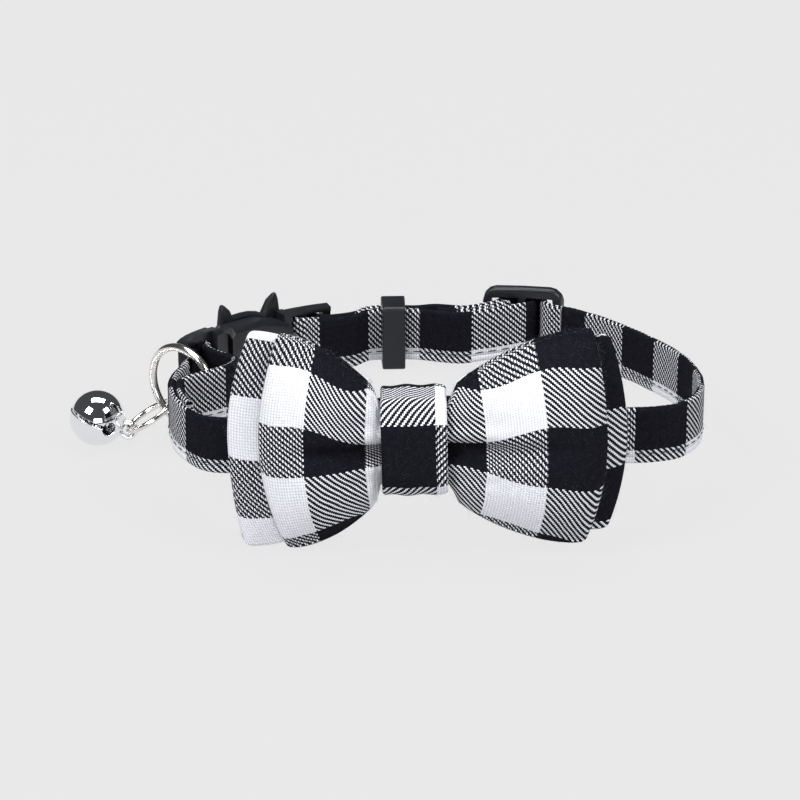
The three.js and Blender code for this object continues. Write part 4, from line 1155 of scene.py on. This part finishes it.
@dataclass
class Jingle:
    """The ring in the plug's fold, the link and the bell with its pea."""

    ring_radius: float = 7.0
    ring_wire: float = 1.4
    link_radius: float = 4.4
    link_wire: float = 1.0
    bell_radius: float = 4.8
    bell_wall: float = 0.5
    shank_radius: float = 1.3
    shank_wire: float = 0.9
    slit_width: float = 0.5
    slit_reach: float = 120.0
    slit_hole: float = 2.5
    slit_roll: float = 9.0
    pole_heading: float = 178.0
    pole_rise: float = 23.0

    def build(self, nickel: Finish, chrome: Finish) -> None:
        """Makes the wires and the bell. Args: nickel, the wires' finish; chrome, the bell's."""
        rings = (("tag_ring", self.ring_radius, self.ring_wire), ("bell_link", self.link_radius, self.link_wire))
        for name, radius, wire in rings:
            dress(wire_ring(name + "_wire", *ring_of(name), radius, wire), nickel, "nickel", name)
        self.bell(chrome)
        low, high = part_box("bell_pea")
        pea_middle = np.array((low + high) / 2) / MM
        pea = self.ball("bell_pea_ball", pea_middle, float((high - low)[2]) / MM / 2)
        dress(pea, nickel, "nickel", "bell_pea")

    def ball(self, name: str, centre: Points, radius: float) -> Piece:
        """A fine ball. Args: name; centre; radius. Returns: the piece."""
        shape = bmesh.new()
        bmesh.ops.create_icosphere(shape, subdivisions=4, radius=radius)
        points = np.array([vertex.co[:] for vertex in shape.verts]) + centre
        faces = [tuple(vertex.index for vertex in face.verts) for face in shape.faces]
        shape.free()
        return smooth_mesh(name, points, faces)

    def bell(self, chrome: Finish) -> None:
        """Makes the bell's shell with its slit, and its loop. Args: chrome, the finish."""
        low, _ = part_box("bell")
        centre = np.array(low) / MM + self.bell_radius
        heading, rise = math.radians(self.pole_heading), math.radians(self.pole_rise)
        level = math.cos(rise)
        axis = np.array([math.cos(heading) * level, math.sin(heading) * level, math.sin(rise)])
        side = np.array([0.0, -1.0, 0.0]) + axis * axis[1]
        side /= np.linalg.norm(side)
        lower = np.cross(axis, side)
        roll = math.radians(self.slit_roll)
        slit_way = side * math.cos(roll) + lower * math.sin(roll)
        basis = np.column_stack([slit_way, np.cross(axis, slit_way), axis])
        reach = math.radians(self.slit_reach)
        hole = self.slit_hole / 2

        def edge(point: Points) -> float:
            """How far a place is outside the slit. Args: point, on the unit ball. Returns: millimetres."""
            x, y, z = point
            cosines = [x * math.sin(turn) + z * math.cos(turn) for turn in (reach, -reach)]
            ends = [self.bell_radius * math.acos(max(-1, min(1, cosine))) for cosine in cosines]
            beside = abs(y) * self.bell_radius - self.slit_width / 2
            slot = beside if abs(math.atan2(x, z)) < reach else math.inf
            return min(slot, min(ends) - hole)

        shape = bmesh.new()
        bmesh.ops.create_icosphere(shape, subdivisions=7, radius=1.0)
        doomed = [v for v in shape.verts if edge(np.array(v.co[:])) < 0]
        bmesh.ops.delete(shape, geom=doomed, context="VERTS")
        shell = [np.array(v.co[:]) for v in shape.verts]
        shape.verts.index_update()
        faces = [tuple(v.index for v in f.verts) for f in shape.faces]
        rims = [tuple(v.index for v in e.verts) for e in shape.edges if len(e.link_faces) == 1]
        directed = {(f[i], f[(i + 1) % 3]) for f in faces for i in range(3)}
        shape.free()
        outside = np.array(shell) * self.bell_radius
        inside = np.array(shell) * (self.bell_radius - self.bell_wall)
        count = len(shell)
        whole = faces + [tuple(count + k for k in reversed(f)) for f in faces]
        for a, b in rims:
            a, b = (a, b) if (b, a) in directed else (b, a)
            whole.append((a, b, count + b, count + a))
        points = np.vstack([outside, inside]) @ basis.T + centre
        dress(smooth_mesh("bell_shell", points, whole), chrome, "chrome", "bell")
        loop_centre = centre - axis * (self.bell_radius + self.shank_radius - self.shank_wire / 2)
        loop = wire_ring("bell_loop", loop_centre, axis, slit_way, self.shank_radius, self.shank_wire)
        dress(loop, chrome, "chrome")


@dataclass
class Fuzz:
    """Loose fibres that stand off brushed cloth."""

    count: int
    length: tuple = (0.5, 1.7)
    radius: float = 0.009
    curl: float = 0.55
    taper: float = 0.6
    rise: tuple = (0.08, 0.75)
    sink: float = 0.03
    steps: int = 5
    seed: int = 7

    def build(self, name: str, cloth: Piece, material: Finish, favour: Points | None = None) -> None:
        """Grows fibres on a piece of cloth.

        Args:
            name: the new piece's name.
            cloth: the piece that they stand on.
            material: their finish.
            favour: how much more they grow on each face.
        """
        draw = random.Random(self.seed)
        mesh = cloth.data
        areas = np.empty(len(mesh.polygons))
        mesh.polygons.foreach_get("area", areas)
        if favour is not None:
            areas = areas * favour
        total = np.cumsum(areas)
        points, faces = [], []
        for _ in range(self.count):
            at = int(np.searchsorted(total, draw.random() * total[-1]))
            face = mesh.polygons[min(at, len(mesh.polygons) - 1)]
            corners = [np.array(mesh.vertices[k].co[:]) / MM for k in face.vertices[:3]]
            a, b = sorted((draw.random(), draw.random()))
            spot = corners[0] * a + corners[1] * (b - a) + corners[2] * (1 - b)
            normal = np.array(face.normal[:])
            way = np.array([draw.gauss(0, 1) for _ in range(3)])
            way = way - normal * way.dot(normal)
            way = way / (np.linalg.norm(way) + 1e-9) + normal * draw.uniform(*self.rise)
            way /= np.linalg.norm(way)
            long = draw.uniform(*self.length)
            line = [spot - normal * self.sink]
            for _ in range(self.steps):
                way = way + np.array([draw.gauss(0, self.curl) for _ in range(3)]) * 0.5
                into = way.dot(normal)
                if into < 0:
                    way = way - normal * into * 1.2
                way /= np.linalg.norm(way)
                line.append(line[-1] + way * long / self.steps)
            other = np.cross(way, normal)
            other /= np.linalg.norm(other) + 1e-9
            faces += capped_tube(len(points), len(line), 3)
            for i, place in enumerate(line):
                size = self.radius * (1.0 - self.taper * i / self.steps)
                for turn in (0.0, 2.094, 4.189):
                    points.append(place + (other * math.cos(turn) + normal * math.sin(turn)) * size)
        dress(smooth_mesh(name, np.array(points), faces), material, "cloth")


def rim_faces(cloth: Piece, flatness: float = 0.3) -> Points:
    """A loop's rims. Args: cloth, the loop; flatness, of the faces there. Returns: 1 on them, 0 elsewhere."""
    normals = np.empty(len(cloth.data.polygons) * 3)
    cloth.data.polygons.foreach_get("normal", normals)
    return (np.abs(normals.reshape(-1, 3)[:, 1]) < flatness).astype(float)


@dataclass
class Studio:
    """A pale floor, soft lights and the camera."""

    course: Course
    floor_value: float = 0.775
    lens: float = 160.65
    camera_place: tuple = (-6.22, -556.05, 266.29)
    camera_tilt: float = 65.0
    lights: tuple = (
        ("key_left", (-0.55, -0.45, 0.75), (0.42, 0.42), 9.9),
        ("key_right", (0.6, -0.35, 0.7), (0.36, 0.36), 6.7),
        ("top", (0.0, 0.25, 0.9), (0.7, 0.35), 7.0),
        ("front", (0.05, -0.85, 0.2), (0.5, 0.25), 2.6),
    )

    def floor(self) -> None:
        """Lays the floor."""
        mesh = bpy.data.meshes.new("studio_floor")
        far = 12.0
        mesh.from_pydata([(-far, -far, 0), (far, -far, 0), (far, far, 0), (-far, far, 0)], [], [(0, 1, 2, 3)])
        floor = stand("studio_floor", mesh)
        floor.location.z = -0.00005
        material, _, shader = new_material("pale_floor")
        shader["Base Color"].default_value = (0.02, 0.02, 0.02, 1)
        shader["Roughness"].default_value = 1.0
        shader["Specular IOR Level"].default_value = 0.0
        shader["Emission Color"].default_value = (1.0, 1.0, 1.0, 1)
        shader["Emission Strength"].default_value = self.floor_value
        floor.data.materials.append(material)

    def light(self, name: str, place: tuple, size: tuple, power: float) -> None:
        """Hangs a soft light aimed at the collar.

        Args:
            name: the light's name.
            place: where it hangs, in metres.
            size: its width and height, in metres.
            power: in watts.
        """
        lamp = bpy.data.lights.new(name, "AREA")
        lamp.shape = "RECTANGLE"
        lamp.size, lamp.size_y = size
        lamp.energy = power
        piece = stand(name, lamp)
        piece.location = place
        piece.rotation_euler = (Vector((0, 0, 0.015)) - Vector(place)).to_track_quat("-Z", "Y").to_euler()

    def camera(self) -> None:
        """Sets the camera at the photograph's angle."""
        data = bpy.data.cameras.new("camera")
        data.lens = self.lens
        data.sensor_width = 36.0
        data.clip_start, data.clip_end = 0.01, 50.0
        camera = stand("camera", data)
        camera.location = (np.array(self.camera_place) + self.course.shift) * MM
        camera.rotation_euler = (math.radians(self.camera_tilt), 0, 0)
        bpy.context.scene.camera = camera

    def build(self) -> None:
        """Sets up the whole studio."""
        self.floor()
        for name, place, size, power in self.lights:
            self.light(name, place, size, power)
        self.camera()
        world = bpy.data.worlds.new("studio")
        world.use_nodes = True
        colour, strength = world.node_tree.nodes["Background"].inputs[:2]
        colour.default_value = (0.8, 0.82, 0.86, 1)
        strength.default_value = 0.08
        scene = bpy.context.scene
        scene.world = world
        scene.view_settings.view_transform = "Standard"
        scene.view_settings.look = "None"


def fit_course(course: Course, strap: Strap, bow: Bow) -> None:
    """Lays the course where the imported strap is.

    Args:
        course: the course, whose rise and shift are set.
        strap: the strap on it.
        bow: the bow, whose drop gives the strap's rise to the front.
    """
    lowest = min(float(bow.to_part(bow.loop_points(loop)[0])[:, 2].min()) for loop in (bow.back, bow.front))
    origin = bow.course.place(np.zeros(1), np.zeros(1), np.zeros(1))[0][2]
    course.rise = (origin - lowest) - course.strap_width / 2 - course.back_height
    course.sample()
    line = strap.centre_line()[0]
    low, high = (np.array(corner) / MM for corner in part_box("collar_strap"))
    course.shift = (low + high) / 2 - (line.min(axis=0) + line.max(axis=0)) / 2
    LOG.info("loop %.1f mm, rise %.2f mm, shift %s", course.length, course.rise, course.shift)


def main() -> None:
    """Builds the collar and the studio."""
    logging.basicConfig(level=logging.INFO, format="%(message)s")
    course = Course()
    strap = Strap(course)
    bow = Bow(course)
    fit_course(course, strap, bow)
    twill, nap, skin = check_twill_group(), brushed_nap_group(), moulded_skin_group()
    strap_cloth = CheckCloth("strap_check", 4.0, -10.5, band_v=8.0).material(twill, nap)
    finishes = {
        "bow_back": CheckCloth("back_bow_check", -32.0, -2.9).material(twill, nap),
        "bow_front": CheckCloth("front_bow_check", -7.9, 2.6).material(twill, nap),
        "bow_knot": CheckCloth("knot_check", 3.5, 5.15).material(twill, nap),
    }
    black_thread = PlainFibre("black_thread", (0.012, 0.012, 0.014, 1)).material()
    grey_fibre = PlainFibre("grey_fibre", (0.1, 0.1, 0.11, 1)).material()
    pale_fibre = PlainFibre("pale_fibre", (0.27, 0.27, 0.29, 1)).material()
    ribbon = strap.build(strap_cloth, black_thread)
    made = bow.build(finishes)
    Fuzz(2200, seed=3).build("ribbon_fuzz", ribbon, grey_fibre)
    for number, (name, count) in enumerate((("bow_back", 1200), ("bow_front", 3000), ("bow_knot", 500))):
        Fuzz(count, seed=11 + number).build(name + "_fuzz", made[name], grey_fibre)
    for number, name in enumerate(("bow_back", "bow_front")):
        rims = rim_faces(made[name])
        Fuzz(1000, (0.5, 1.7), 0.007, seed=31 + number).build(name + "_rim_fuzz", made[name], pale_fibre, rims)
    Hardware().build(MouldedPlastic().material(skin))
    nickel = PlatedMetal("nickel_plate", (0.78, 0.76, 0.73, 1), 0.16)
    chrome = PlatedMetal("mirror_plate", (0.86, 0.87, 0.9, 1), 0.05, 0.02)
    Jingle().build(nickel.material(), chrome.material())
    Studio(course).build()


if __name__ == "__main__":
    main()
